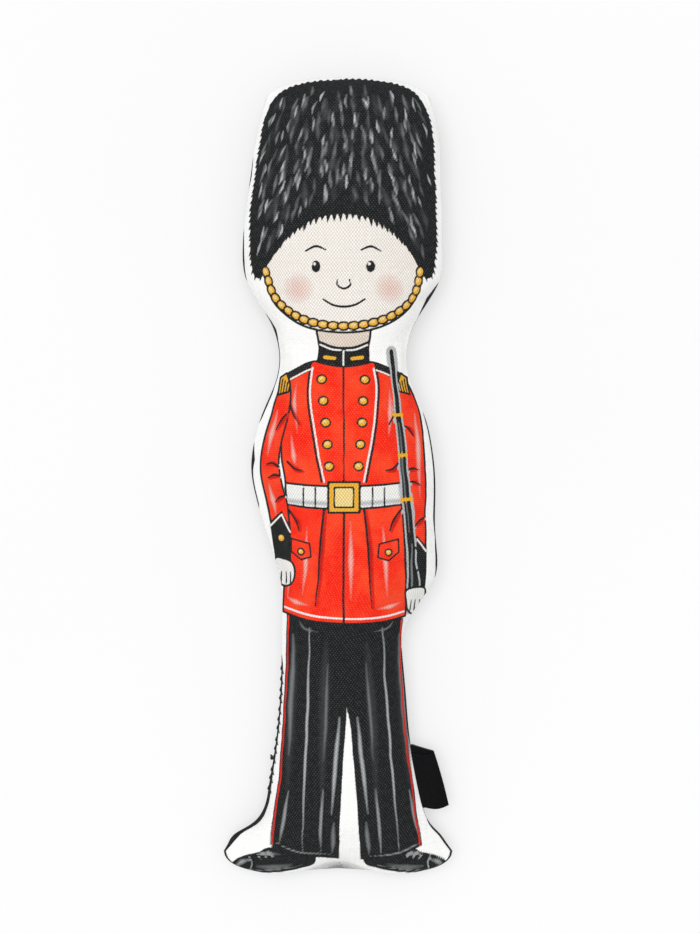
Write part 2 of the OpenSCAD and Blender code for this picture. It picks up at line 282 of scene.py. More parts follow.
def soft_mesh(name, points, faces):
    mesh = bpy.data.meshes.new(name)
    mesh.from_pydata((np.asarray(points) * MM).tolist(), [], [list(map(int, face)) for face in faces])
    mesh.shade_smooth()
    return mesh


def inflate(name, grid, side):
    """Blows a sewn panel up from the inside, with its seam held, and returns the new grid."""
    mesh = soft_mesh(name, grid.reshape(-1, 3), grid_quads(SIM_ROWS, SIM_COLUMNS)[:, ::side])
    cloth = bpy.data.objects.new(name, mesh)
    scene.collection.objects.link(cloth)
    cloth.vertex_groups.new(name="seam").add(RIM.tolist(), 1.0, "REPLACE")
    modifier = cloth.modifiers.new("cloth", "CLOTH")
    for key, value in CLOTH_SETTINGS.items():
        setattr(modifier.settings, key, value)
    modifier.settings.effector_weights.gravity = 0
    modifier.point_cache.frame_end = SIM_FRAMES
    for step in range(1, SIM_FRAMES + 1):
        scene.frame_set(step)
    shape = cloth.evaluated_get(bpy.context.evaluated_depsgraph_get())
    found = np.empty(grid.size)
    shape.data.vertices.foreach_get("co", found)
    scene.frame_set(1)
    bpy.data.objects.remove(cloth)
    bpy.data.meshes.remove(mesh)
    return found.reshape(grid.shape) / MM


def along_cloth(grid):
    """Spreads each row's points along the curved cloth, and leaves the sole and the crown as they are."""
    runs = lengths(grid, 1)
    row = np.arange(len(grid))
    ease = np.minimum(1, np.minimum(row, row[::-1]) / SPREAD_ROWS)[:, None]
    wanted = runs[:, -1:] * (columns(grid.shape[1] - 1) + 1) / 2
    return np.stack([read(*each) for each in zip(runs + ease * (wanted - runs), runs, grid)])


def print_places(grid):
    """Where each point of the cloth lies on the picture, which was printed before the stuffing went in."""
    x = grid[..., 0]
    left, right = x[:, :1], x[:, -1:]
    runs = lengths(grid, 1)
    even_x = left + (right - left) * runs / runs[:, -1:]
    return np.stack([x + PRINT_SPREAD * (even_x - x) - FIGURE_X, grid[..., 1] - FIGURE_Y], -1)


def stuffed(node, side, roll):
    """The outer face of a stuffed panel on the coarse grid, and its places on the picture."""
    flat = flat_grid(SIM_ROWS, SIM_COLUMNS, roll)
    flat[..., 2] += side * LIP
    start = cad_heights(node, flat, side)
    start.reshape(-1, 3)[RIM] = flat.reshape(-1, 3)[RIM]
    start = along_cloth(smooth_grid(start, START_SMOOTHING))
    places = print_places(start)
    move = smooth_grid(inflate(node + "_cloth", start, side) - start, MOVE_SMOOTHING)
    far = np.linalg.norm(move, axis=-1, keepdims=True)
    return start + move * np.minimum(1, MOST_MOVE / np.maximum(far, 1e-9)), places


def rest_on_floor(shape):
    """The back spreads flat where the weight of the doll presses it on the table."""
    z = (shape[..., 2] + np.sqrt(shape[..., 2] ** 2 + FLOOR_SOFTNESS ** 2)) / 2
    return np.concatenate([shape[..., :2], (z - z.min())[..., None]], axis=-1)


class Shell:
    """Points, faces and flat pattern of one panel of cloth with its turned-in edge."""

    SCALE = 1 / 420
    CORNER = (FIGURE_X - 60, FIGURE_Y - 2)
    INNER_AT = 0.3
    # Where the two loops of each band of the edge lie on the pattern
    BANDS = [(0.62, 0.63), (0.64, 0.65), (0.66, 0.67), (0.68, 0.69), (0.73, 0.72), (0.76, 0.77)]

    def __init__(self, side):
        self.side = side
        self.points = []
        self.faces = []
        self.pattern = []
        self.bands = 0

    def add_points(self, points):
        first = sum(map(len, self.points))
        self.points.append(points.reshape(-1, 3))
        return first

    def add_grid(self, grid, shift, side):
        rows, cols = grid.shape[0] - 1, grid.shape[1] - 1
        first = self.add_points(grid)
        flat = (grid.reshape(-1, 3)[:, :2] - self.CORNER) * self.SCALE + [shift, 0]
        quads = grid_quads(rows, cols)[:, ::side]
        self.faces += (quads + first).tolist()
        self.pattern.append(flat[quads].reshape(-1, 2))
        return first + rim_ids(rows, cols)

    def add_loop(self, upper, ring, level):
        """A loop of points at a level off the seam, joined to the loop before it."""
        ring[:, 2] += self.side * level
        lower = self.add_points(ring) + np.arange(len(ring))
        self.join(upper, lower)
        return lower

    def join(self, upper, lower):
        """Faces between two loops, the first of which may be finer."""
        n = len(lower)
        step = len(upper) // n
        near, far = self.BANDS[self.bands]
        self.bands += 1
        for k in range(n):
            back = range((k + 1) * step, k * step, -1)
            face = [upper[k * step], lower[k], lower[(k + 1) % n]] + [upper[i % len(upper)] for i in back]
            flat = [(near, k / n), (far, k / n), (far, (k + 1) / n)] + [(near, i / len(upper)) for i in back]
            self.faces.append(face[::self.side])
            self.pattern.append(np.array(flat[::self.side]))

    def mesh(self, name):
        mesh = soft_mesh(name, np.vstack(self.points), self.faces)
        mesh.uv_layers.new(name="OFBake").data.foreach_set("uv", np.vstack(self.pattern).ravel())
        return mesh


def panel(name, side, shape, roll, edges):
    """A panel's closed cloth: outer face, turned edge, seam allowance and inner face."""
    shell = Shell(side)
    outer = finer(shape, FINE)
    loop = shell.add_grid(outer, 0, side)
    for inset, level, of_front in edges:
        ring = rim_of(flat_grid(SIM_ROWS * FINE, SIM_COLUMNS * FINE, roll, inset, of_front))
        loop = shell.add_loop(loop, ring, level)
    turned = rim_of(flat_grid(SIM_ROWS, SIM_COLUMNS, roll, ALLOWANCE))
    loop = shell.add_loop(loop, turned, SEAM_GAP / 2 + CLOTH_T)
    inner = inner_face(shape, side, roll)
    shell.join(loop, shell.add_grid(inner, Shell.INNER_AT, -side))
    return shell.mesh(name), outer, inner


# How far the inner face's rim lies in from the cloth's fold, the room it keeps, and how high it may rise
INNER_IN = 0.6
INNER_ROOM = 0.8
INNER_RISE = 0.15


def inner_face(shape, side, roll):
    """The inside of the cloth, kept below the outer face where a corner is thin."""
    inner = shape - side * CLOTH_T * normals(shape)
    row, col = np.unravel_index(RIM, shape.shape[:2])
    near = shape[np.clip(row, 1, SIM_ROWS - 1), np.clip(col, 1, SIM_COLUMNS - 1), 2]
    rim = rim_of(flat_grid(SIM_ROWS, SIM_COLUMNS, roll, CLOTH_T + INNER_IN))
    room = side * (near - rim[:, 2]) - CLOTH_T - INNER_ROOM
    rim[:, 2] += side * np.clip(room, SEAM_GAP, SEAM_GAP / 2 + CLOTH_T + INNER_RISE)
    inner.reshape(-1, 3)[RIM] = rim
    return inner


# (inset, level off the seam, share of the front's roll) of the folds in each turned edge
FRONT_EDGE = [(-0.1, 0.3, 0), (0.05, 0.12, 0), (FOLD_IN, SEAM_GAP / 2, 0), (ALLOWANCE, SEAM_GAP / 2, 0)]
BACK_EDGE = [(-0.1, 0.3, 0), (0.1, 0.06, 0.3), (FOLD_IN, SEAM_GAP / 2, 1), (ALLOWANCE, SEAM_GAP / 2, 0)]

front_shape, front_places = stuffed("front_panel", 1, front_roll)
back_shape = rest_on_floor(stuffed("back_panel", -1, back_roll)[0])
front_mesh, front_outer, front_inner = panel("front_cover", 1, front_shape, front_roll, FRONT_EDGE)
back_mesh, back_outer, back_inner = panel("back_cover", -1, back_shape, back_roll, BACK_EDGE)


# The picture printed on the front, in millimetres from the middle line and the soles

def srgb(*levels):
    """Linear colour of the usual 0 to 255 levels."""
    v = np.array(levels) / 255
    return np.where(v <= 0.04045, v / 12.92, ((v + 0.055) / 1.055) ** 2.4)


def grey(level):
    return srgb(level, level + 3, level + 4)


CANVAS = srgb(253, 253, 252)
SKIN = srgb(252, 246, 238)
SKIN_SHADE = srgb(236, 222, 208)
BLUSH = srgb(240, 190, 176)
RED = srgb(255, 40, 10)
PINK = srgb(255, 190, 176)
DEEP_RED = srgb(196, 22, 12)
INK = srgb(29, 31, 32)
WHITE = srgb(246, 245, 241)
GOLD = srgb(248, 184, 54)
BRIGHT_GOLD = srgb(252, 224, 150)
LINE = 1.05
FINE_LINE = 0.85
HAND = np.random.default_rng(11)


def curve(points, closed=False, per=8):
    """Smooth line through points; a point given twice makes a corner."""
    p = np.array(points, float)
    corners = np.flatnonzero((p == np.roll(p, -1, axis=0)).all(axis=1))
    if closed and len(corners):
        p = np.roll(p, -1 - corners[0], axis=0)
        breaks = np.flatnonzero((p[:-1] == p[1:]).all(axis=1)) + 1
        return np.vstack([curve(run, per=per)[:-1] for run in np.split(p, breaks)])
    if closed:
        p = np.vstack([p[-1:], p, p[:2]])
    else:
        p = np.vstack([2 * p[:1] - p[1:2], p, 2 * p[-1:] - p[-2:-1]])
    t = (np.arange(per) / per)[:, None]
    spans = []
    for a, b, c, d in zip(p, p[1:], p[2:], p[3:]):
        spans.append((2 * b + (c - a) * t + (2 * a - 5 * b + 4 * c - d) * t ** 2
                      + (3 * b - a - 3 * c + d) * t ** 3) / 2)
    if not closed:
        spans.append(p[-2:-1])
    return np.vstack(spans)


def ellipse(x, y, wide, high, turn=0, count=24):
    a = np.linspace(0, 2 * math.pi, count, endpoint=False)
    c, s = math.cos(turn), math.sin(turn)
    u, v = wide * np.cos(a), high * np.sin(a)
    return np.stack([x + u * c - v * s, y + u * s + v * c], -1)


def even(points, step):
    """Places step apart along a line, with the direction of the line there."""
    way = np.diff(points, axis=0)
    run = lengths(points)
    at = np.linspace(0, run[-1], max(2, round(run[-1] / step) + 1))
    k = np.clip(np.searchsorted(run, at, side="right") - 1, 0, len(way) - 1)
    return read(at, run, points), way[k] / np.linalg.norm(way[k], axis=1, keepdims=True)


class Picture:
    """Broad colours on the cloth, and how deep each place lies inside the red and the ink."""

    # Farthest distance that counts, softness of edges, and how many times that softness a colour reaches out
    FAR = 4.0
    SOFT = 0.3
    UNDER_OUTLINE = 1.2
    PAST_LINE = 3
    BRUSH_SOFT = 0.4

    def __init__(self, at):
        self.at = at
        self.colour = np.tile(CANVAS, (len(at), 1))
        self.red = np.full(len(at), -self.FAR)
        self.ink = np.full(len(at), -self.FAR)

    def near(self, points):
        low = points.min(axis=0) - self.FAR
        high = points.max(axis=0) + self.FAR
        return np.flatnonzero(((self.at > low) & (self.at < high)).all(axis=1))

    def to_segment(self, ids, a, b):
        way = b - a
        share = np.clip((self.at[ids] - a) @ way / max(way @ way, 1e-9), 0, 1)
        return np.linalg.norm(self.at[ids] - a - share[:, None] * way, axis=1), share

    def area(self, points):
        """Places near a closed line, and their depth inside it."""
        points = np.asarray(points, float)
        ids = self.near(points)
        x, y = self.at[ids].T
        gap = np.full(len(ids), self.FAR)
        inside = np.zeros(len(ids), bool)
        for a, b in zip(points, np.roll(points, -1, axis=0)):
            gap = np.minimum(gap, self.to_segment(ids, a, b)[0])
            if a[1] != b[1]:
                crossed = (a[1] > y) != (b[1] > y)
                inside ^= crossed & (x < a[0] + (y - a[1]) * (b[0] - a[0]) / (b[1] - a[1]))
        return ids, np.where(inside, gap, -gap)

    def band(self, points, widths):
        """Places near a line, and their depth inside its width, which may change along it."""
        points = np.asarray(points, float)
        widths = np.interp(np.linspace(0, 1, len(points)), np.linspace(0, 1, len(widths)), widths)
        ids = self.near(points)
        depth = np.full(len(ids), -self.FAR)
        for a, b, start, end in zip(points, points[1:], widths, widths[1:]):
            gap, share = self.to_segment(ids, a, b)
            depth = np.maximum(depth, (start + (end - start) * share) / 2 - gap)
        return ids, depth

    def tint(self, ids, share, colour):
        self.colour[ids] += np.clip(share, 0, 1)[:, None] * (colour - self.colour[ids])

    def blacken(self, ids, depth):
        self.ink[ids] = np.maximum(self.ink[ids], depth)

    def redden(self, ids, depth):
        self.ink[ids] = np.minimum(self.ink[ids], -depth)
        self.red[ids] = np.maximum(self.red[ids], depth)

    def clear(self, ids, depth):
        self.red[ids] = np.minimum(self.red[ids], -depth)
        self.ink[ids] = np.minimum(self.ink[ids], -depth)

    def edge(self, ids, depth, width):
        if width:
            self.blacken(ids, width / 2 - np.abs(depth))

    def fill(self, points, colour, line=LINE):
        ids, depth = self.area(points)
        self.clear(ids, depth)
        self.tint(ids, depth / self.SOFT + self.UNDER_OUTLINE, colour)
        self.edge(ids, depth, line)

    def fill_red(self, points, line=LINE):
        ids, depth = self.area(points)
        self.redden(ids, depth)
        self.tint(ids, depth / self.SOFT, RED)
        self.edge(ids, depth, line)

    def fill_ink(self, points):
        ids, depth = self.area(points)
        self.blacken(ids, depth)
        self.tint(ids, depth / self.SOFT, INK)

    def line(self, points, *widths):
        self.blacken(*self.band(points, widths))

    def light(self, points, colour, *widths):
        """A line of another colour over red or ink."""
        ids, depth = self.band(points, widths)
        self.clear(ids, depth)
        self.tint(ids, depth / self.SOFT + self.PAST_LINE, colour)

    def brush(self, points, colour, *widths):
        """A soft-edged stroke inside a filled area."""
        ids, depth = self.band(points, widths)
        self.clear(ids, depth)
        self.tint(ids, depth / (self.BRUSH_SOFT * max(widths)), colour)

    def soften(self, x, y, radius, colour, strength):
        """A soft round tint."""
        gap = np.hypot(self.at[:, 0] - x, self.at[:, 1] - y) / radius
        self.tint(slice(None), strength * np.clip(1 - gap ** 2, 0, 1), colour)


MIDDLE = 0.5


def mirrored(points, middle=MIDDLE):
    return [(2 * middle - x, y) for x, y in points]


def whole(half, middle_y):
    """A line through the middle whose second half mirrors the first."""
    return half + [(MIDDLE, middle_y)] + mirrored(half)[::-1]


SIDES = (list, mirrored)


def button(picture, x, y, radius=2.1):
    picture.fill(ellipse(x, y, radius, radius), GOLD, FINE_LINE)
    picture.fill(ellipse(x - 0.4, y + 0.5, 0.75, 0.6), BRIGHT_GOLD, 0)


BRIM_TOP = 329
BRIM_DROP = 23
BRIM_HALF = 37
BRIM = whole([(36.5, 306), (27, 318), (14.5, 326.3)], BRIM_TOP)
HAT_SIDE_LEFT = [(-43.8, 303), (-45.4, 322), (-43.8, 345), (-40.6, 368), (-35.5, 385)]
HAT_SIDE_RIGHT = [(39.5, 385), (43.6, 368), (45.4, 345), (45.8, 322), (44.4, 303)]
HAT_TOP = [(-25.5, 393.8), (-11, 397.4), (2.5, 398.4), (16, 397.4), (30, 393.8)]
HAT = HAT_SIDE_LEFT + HAT_TOP + HAT_SIDE_RIGHT
# Layers of fur: (width, length, distance between strands, darkest and lightest grey)
FUR = [(4.4, 13, 7, 42, 76), (2.2, 10, 6, 78, 138), (1.6, 8, 10, 150, 222)]
# Heights and sides between which strands grow, how much of each shows, and steps of the tufts along the edges
FUR_HEIGHTS = (396, 308)
FUR_SIDES = (-44, 45)
FUR_SHOWN = 0.8
TUFT_STEP = 3.1
FRINGE_STEP = 2.7
# Middle and half width of the cap for a strand's tip and root, and how it narrows above a height
CAP_TIP = (0.6, 44.4)
CAP_ROOT = (1, 43.6)
CAP_TAPER = 0.16
TAPER_FROM = 345


def bearskin(picture):
    """Tall fur cap in layers of combed strands, with a fringe over the forehead."""
    outside = [(-39.5, 299.5)] + HAT + [(40.5, 299.5)]
    picture.fill_ink(curve(outside + BRIM, closed=True))
    for place, way in zip(*even(curve(outside), TUFT_STEP)):
        out = np.array([-way[1], way[0]])
        tip = place + 0.9 * out + HAND.uniform(0.5, 2.2) * np.array([0, -1])
        picture.line([place - 1.5 * out + [0, 1.5], tip], 2.2, 0.5)
    for place in even(curve(BRIM), FRINGE_STEP)[0]:
        lean = (place[0] - MIDDLE) / 60
        tip = place + HAND.uniform(2, 4.2) * np.array([lean, -1])
        picture.line([place + [0, 2], tip], 2.8, 0.5)
    for width, length, step, dark, pale in FUR:
        for y in np.arange(*FUR_HEIGHTS, -FUR_SHOWN * length):
            for x in np.arange(FUR_SIDES[0] + HAND.uniform(0, step), FUR_SIDES[1], step):
                strand(picture, x, y, width, length, HAND.uniform(dark, pale))


def strand(picture, x, y, width, length, level):
    """One curved strand, where it fits inside the cap."""
    root = np.array([x + HAND.uniform(-1.5, 1.5), y + HAND.uniform(-3, 3)])
    turn = 0.5 * (x - MIDDLE) / 48 + HAND.uniform(-0.22, 0.22)
    long = length * HAND.uniform(0.7, 1.1)
    tip = root + long * np.array([math.sin(turn), -math.cos(turn)])
    bend = (root + tip) / 2 + HAND.uniform(-0.9, 0.9) * np.array([math.cos(turn), math.sin(turn)])
    brim = BRIM_TOP - BRIM_DROP * ((tip[0] - MIDDLE) / BRIM_HALF) ** 2
    crown = np.interp(root[0], *zip(*HAT_TOP))
    clear = np.linalg.norm(HAT - root, axis=1).min()
    narrow = CAP_TAPER * max(0, y - TAPER_FROM)
    inside = (abs(tip[0] - CAP_TIP[0]) < CAP_TIP[1] - width
              and abs(root[0] - CAP_ROOT[0]) < CAP_ROOT[1] - narrow - width)
    if inside and tip[1] > brim + 3 and root[1] < crown - 1.5 and clear > width:
        picture.brush(curve([root, bend, tip], per=3), grey(round(level)), 0.5 * width, width, 0.4)


FACE = (whole([(-37.2, 309), (-37, 298), (-32.8, 287), (-24.5, 279), (-13, 273.7)], 272)
        + [(20, 332), (-19, 332)])
NECK = [(-10, 277), (-10.5, 262), (-10.5, 262), (11.5, 262), (11.5, 262), (11, 277)]
NOSE = whole([(-2.2, 297.6), (-2.4, 294.9)], 293.2)
MOUTH = whole([(-9, 288.2), (-4.5, 285.4)], 284.5)
CHAIN = whole([(-36.6, 302), (-33, 290.5), (-25, 282.3), (-13.2, 277)], 275.2)


def face(picture):
    """Plain doll's face with a calm smile."""
    picture.fill(curve(NECK, True), SKIN_SHADE)
    picture.fill(curve(FACE, True), SKIN)
    for x in (-20.5, 21.5):
        picture.soften(x, 293.5, 7.5, BLUSH, 0.6)
    for x in (-12, 13):
        picture.fill_ink(ellipse(x, 304, 2.0, 2.8))
        picture.fill(ellipse(x - 0.6, 305.2, 0.75, 0.85), WHITE, 0)
        side = math.copysign(1, x)
        picture.line(curve([(x - 4.6 * side, 311.8), (x, 313.6), (x + 4.8 * side, 311.4)]), 0.8, 1.2, 0.8)
    picture.line(curve(NOSE), 0.8, 1.1, 0.8)
    picture.line(curve(MOUTH), 0.9, 1.2, 0.9)


def chin_chain(picture):
    """Gold links under the chin."""
    for place, way in zip(*even(curve(CHAIN), 4.5)):
        turn = math.atan2(way[1], way[0])
        picture.fill(ellipse(*place, 2.7, 1.9, turn), GOLD, FINE_LINE)
        picture.fill(ellipse(place[0] - 0.3, place[1] + 0.4, 1.1, 0.6, turn), BRIGHT_GOLD, 0)


TUNIC = [
    (-12, 257.5), (-21, 254), (-28.6, 250.4), (-31.6, 243), (-30.4, 228), (-28.5, 210), (-26.6, 192),
    (-28, 170), (-29.3, 150), (-29.9, 133), (-29.9, 133), (-16, 129.6), (0.5, 128), (16, 128.8),
    (30.2, 131), (30.2, 131), (29.8, 150), (28.6, 170), (27.3, 192), (29.3, 210), (31.4, 228),
    (32.4, 243), (29.6, 250.4), (22, 254), (13, 257.5), (0.5, 255)]
HEM_PIPING = [(-28.8, 135.4), (-15.5, 132.2), (0.5, 130.7), (15.6, 131.3), (29.2, 133.4)]
BREAST = [(-14.5, 254), (-15.5, 240), (-13, 218), (-9.5, 198)]
PIPING_IN = 1.1
# Rows of buttons: number, highest one, distance, how far from the middle, and how much nearer each row below
BUTTON_ROWS = 5
TOP_BUTTON = 248
BUTTON_STEP = 10.6
BUTTON_OUT = 9.6
BUTTON_NEARER = 0.75
POCKET_FLAP = [(-24.6, 170), (-15.4, 167.8), (-14.9, 161.2), (-19.8, 159.6), (-24.8, 163.6)]
BELT = [
    (-27, 197.6), (-27, 197.6), (-14, 196.4), (0.5, 196), (15, 196.4), (27.8, 197.6), (27.8, 197.6),
    (27.6, 186.9), (27.6, 186.9), (15, 185.5), (0.5, 185), (-14, 185.5), (-26.8, 186.9), (-26.8, 186.9)]
FOLDS = [
    [(-25.5, 239), (-23.5, 232), (-20, 226)], [(26.5, 239), (24.5, 232), (21, 226)],
    [(-25.6, 208), (-22, 204.5), (-18.5, 203.5)], [(26.6, 208), (23, 204.5), (19.5, 203.5)],
    [(-25.8, 184), (-22, 179), (-20.5, 174)], [(26.5, 184), (23, 179), (21.4, 174)],
    [(-8.5, 185), (-10.5, 165), (-12.4, 136.5)], [(9.5, 185), (11.5, 165), (13.2, 136)]]
SHINE = [
    [(-21.5, 247), (-22.5, 236), (-21, 222)], [(-24.2, 222), (-22.4, 211), (-21.5, 206)],
    [(-25.6, 172), (-26.6, 155), (-27, 140)], [(-16.5, 176), (-17.6, 158), (-19, 142)],
    [(21.5, 244), (22, 232), (20.8, 220)], [(18, 178), (19.4, 160), (20.6, 140)],
    [(3.4, 180), (3.8, 160), (4, 140)],
    [(-27.4, 140.5), (-22.5, 138.2), (-15.5, 136.6)], [(27.6, 138.4), (21.5, 136.6), (15.5, 135.8)]]


def shaded(picture, shines, widths, folds):
    """Pale strokes on red cloth, and folds that are darker along one side."""
    for points in shines:
        picture.brush(curve(points), PINK, *widths)
    for points in map(curve, folds):
        picture.brush(points + [0.9, -0.5], DEEP_RED, 1.2, 3, 1)
        picture.line(points, 1.1, 1.0, 0.7)


def tunic(picture):
    """Red tunic with two rows of buttons, a white belt and a plain brass plate."""
    picture.fill_red(curve(TUNIC, True))
    shaded(picture, SHINE, (0.8, 3.2, 0.8), FOLDS)
    for way in SIDES:
        picture.line(curve(way(BREAST)), LINE)
        picture.light(curve([(x - math.copysign(PIPING_IN, x), y) for x, y in way(BREAST)]), WHITE, 0.9)
    for row in range(BUTTON_ROWS):
        for side in (-1, 1):
            x = MIDDLE + side * (BUTTON_OUT - BUTTON_NEARER * row)
            button(picture, x, TOP_BUTTON - BUTTON_STEP * row)
    picture.line([(0.5, 254), (0.5, 198)], FINE_LINE)
    picture.light(curve(HEM_PIPING), WHITE, 1.0)
    picture.line([(0.5, 187), (0.5, 128.5)], LINE)
    for way in SIDES:
        flap = way(POCKET_FLAP)
        picture.fill_red(flap, FINE_LINE)
        button(picture, flap[3][0], 163.6, 1.6)
    picture.fill(curve(BELT, True), WHITE)
    picture.brush(curve([(-25.6, 188.6), (0.5, 187.4), (26.4, 188.6)]), grey(196), 3, 3)
    picture.fill([(-6.5, 198), (7.5, 198), (7.5, 183.2), (-6.5, 183.2)], GOLD)
    picture.fill([(-3.8, 195.4), (4.8, 195.4), (4.8, 185.8), (-3.8, 185.8)], BRIGHT_GOLD, FINE_LINE)
    for x in (-18, -12.4, 13.4, 19):
        picture.line([(x, 195.2), (x, 186.6)], FINE_LINE)


COLLAR = (whole([(-10.8, 268), (-10.8, 268), (-4.5, 265.4)], 265)
          + whole([(12.8, 256.6), (12.8, 256.6), (6, 254.6)], 254))
STRAP = [(-13.5, 257.6), (-28.4, 251.8), (-27.4, 247.2), (-14.6, 252.2)]
FRINGE = [(-31, 250.2), (-27.2, 252.2), (-25, 246.6), (-25.8, 242.8), (-32, 241.6)]


def collar(picture):
    """Dark stand collar with white piping, and dark shoulder straps with gold fringes."""
    for way in SIDES:
        strap = np.array(way(STRAP))
        picture.fill_ink(strap)
        picture.light(strap[[3, 2]] + [0, 0.9], WHITE, 0.9)
        fringe = np.array(way(FRINGE))
        picture.fill(fringe, GOLD)
        for share in (0.25, 0.5, 0.75):
            picture.line(fringe[[0, 4]] * (1 - share) + fringe[[2, 3]] * share, 0.8, 0.7)
    picture.fill_ink(curve(COLLAR, True))
    for way in SIDES:
        picture.light(curve(way([(-10.3, 266), (-5, 263.7), (-0.8, 263.3)])), WHITE, 0.9)
        picture.light(way([(-8, 259.6), (-3.6, 258.9)]), GOLD, 1.9)
    picture.light([(0.5, 263), (0.5, 255)], WHITE, 0.8)


LEFT_SLEEVE = [
    (-27.5, 250.8), (-32.8, 241), (-37.4, 226), (-40.7, 209), (-39.2, 193), (-35.8, 177.5), (-35.8, 177.5),
    (-25, 174), (-25, 174), (-27, 188), (-30, 204), (-28.6, 222), (-24.5, 240)]
RIGHT_SLEEVE = [
    (29, 250.8), (34.6, 242.5), (38, 229), (40, 208), (40.4, 186), (40.2, 165), (40.2, 165),
    (30.2, 164), (30.2, 164), (30, 186), (29, 208), (27, 230), (25.5, 243)]
LEFT_CUFF = [(-36.2, 178), (-30, 183.5), (-24.6, 175), (-25, 158.6), (-34, 160.2)]
RIGHT_CUFF = [(29.9, 164.5), (35.4, 171.5), (40.7, 165.5), (40.4, 145), (30.6, 144)]
LEFT_HAND = [
    (-33.6, 160), (-25.4, 158.6), (-23.2, 153.5), (-24.4, 148), (-28.3, 145.8), (-32.2, 147.6), (-34.2, 153)]
LEFT_FINGERS = [((x, 147.4), (x + 0.3, 153)) for x in (-31.2, -28.4, -25.8)]
RIGHT_HAND = [(30.8, 144.4), (40, 145), (41, 139), (39.6, 133.4), (35.4, 131.6), (31.6, 133.6), (30.2, 139)]
RIGHT_FINGERS = [((x, 133.6), (x + 0.2, 139)) for x in (33, 35.6, 38.2)]
SLEEVE_FOLDS = [
    [(-30.4, 205.5), (-33.8, 207.4), (-37.4, 206.6)], [(-30, 201), (-33.4, 201.4), (-36.6, 199.8)],
    [(-28.2, 191), (-31.4, 190), (-33.6, 187.6)], [(-27.4, 232), (-30.5, 229), (-33, 224)],
    [(29.6, 203), (33, 204.6), (36.4, 204)], [(30, 197.6), (33.6, 198), (37, 196.4)],
    [(39.4, 180), (36.4, 178.4), (34, 175.6)], [(28.2, 226), (31.2, 224.4), (33.6, 220.6)]]
SLEEVE_SHINE = [
    [(-32.4, 234), (-35.2, 222), (-36.8, 211)], [(-36.4, 197), (-35, 189), (-33.2, 181)],
    [(34.6, 232), (36.4, 214), (37, 190)], [(32.4, 192), (32.4, 182), (32.6, 172)]]


def glove(picture, hand, fingers):
    picture.fill(curve(hand, True), WHITE)
    for finger in fingers:
        picture.line(finger, 0.9, 0.6)


def sleeves(picture):
    """Red sleeves, one bent to the hip, with pointed dark cuffs and a white glove."""
    picture.fill_red(curve(LEFT_SLEEVE, True))
    picture.fill_red(curve(RIGHT_SLEEVE, True))
    shaded(picture, SLEEVE_SHINE, (1.4, 4, 1), SLEEVE_FOLDS)
    glove(picture, LEFT_HAND, LEFT_FINGERS)
    for cuff in (LEFT_CUFF, RIGHT_CUFF):
        picture.fill_ink(cuff)
        picture.light(np.array(cuff[:3]) + [(0.5, -1.9), (0, -1.9), (-0.5, -1.9)], WHITE, 0.95)
    button(picture, -30, 170, 2)


BUTT = np.array([35.4, 133.5])
MUZZLE = np.array([23, 263])
# Outline of the stock: (distance from the butt, distance from the middle)
STOCK = [(0, -3.2), (0, 3.1), (14, 2.7), (25, 1.5), (36, 1.9), (64, 1.6), (98, 1.3), (98, -1.3), (64, -1.6),
         (36, -1.9), (25, -1.7), (14, -2.9)]


def musket(picture):
    """Plain dark musket at the shoulder, with three gold bands, and the glove that holds it."""
    length = np.linalg.norm(MUZZLE - BUTT)
    along = (MUZZLE - BUTT) / length
    across = np.array([along[1], -along[0]])

    def at(*places):
        return np.array([BUTT + a * along + w * across for a, w in places])

    barrel = at((60, 0), (length, 0))
    picture.light(at(*STOCK, STOCK[0]), grey(196), 1.9)
    picture.light(barrel, grey(196), 3.6)
    picture.fill_ink(at(*STOCK))
    picture.line(barrel, 2.2, 1.9)
    picture.line(at((20, 2), (22, 4.4), (29, 4.6), (32, 2)), 0.9)
    picture.light(at((4, -1.4), (18, -0.8), (34, 0.4)), grey(128), 0.9, 1.2, 0.6)
    picture.light(at((40, -0.5), (70, -0.4), (94, -0.3)), grey(118), 0.6, 0.9, 0.6)
    for a in (56, 78, 98):
        picture.light(at((a, -1.9), (a, 1.9)), GOLD, 1.5)
    glove(picture, RIGHT_HAND, RIGHT_FINGERS)


TROUSERS = [
    (-27.6, 132), (-27.6, 132), (-28.8, 105), (-30.4, 75), (-32.6, 45), (-35.4, 17), (-35.4, 17),
    (-20, 11.5), (-2.2, 8.6), (-2.2, 8.6), (-0.6, 45), (1, 75), (1.7, 87), (1.7, 87), (3.6, 75),
    (6.2, 45), (8.6, 8.6), (8.6, 8.6), (24, 10.6), (38.8, 16), (38.8, 16), (35.4, 45), (31.9, 75),
    (29.8, 105), (28.8, 130), (28.8, 130)]
STRIPE_LEFT = [(-26.6, 131), (-27.8, 105), (-29.4, 75), (-31.6, 45), (-34.2, 17.4)]
STRIPE_RIGHT = [(27.8, 129), (28.8, 105), (30.9, 75), (34.4, 45), (37.6, 16.4)]
STRIPE_WIDTH = 1.0
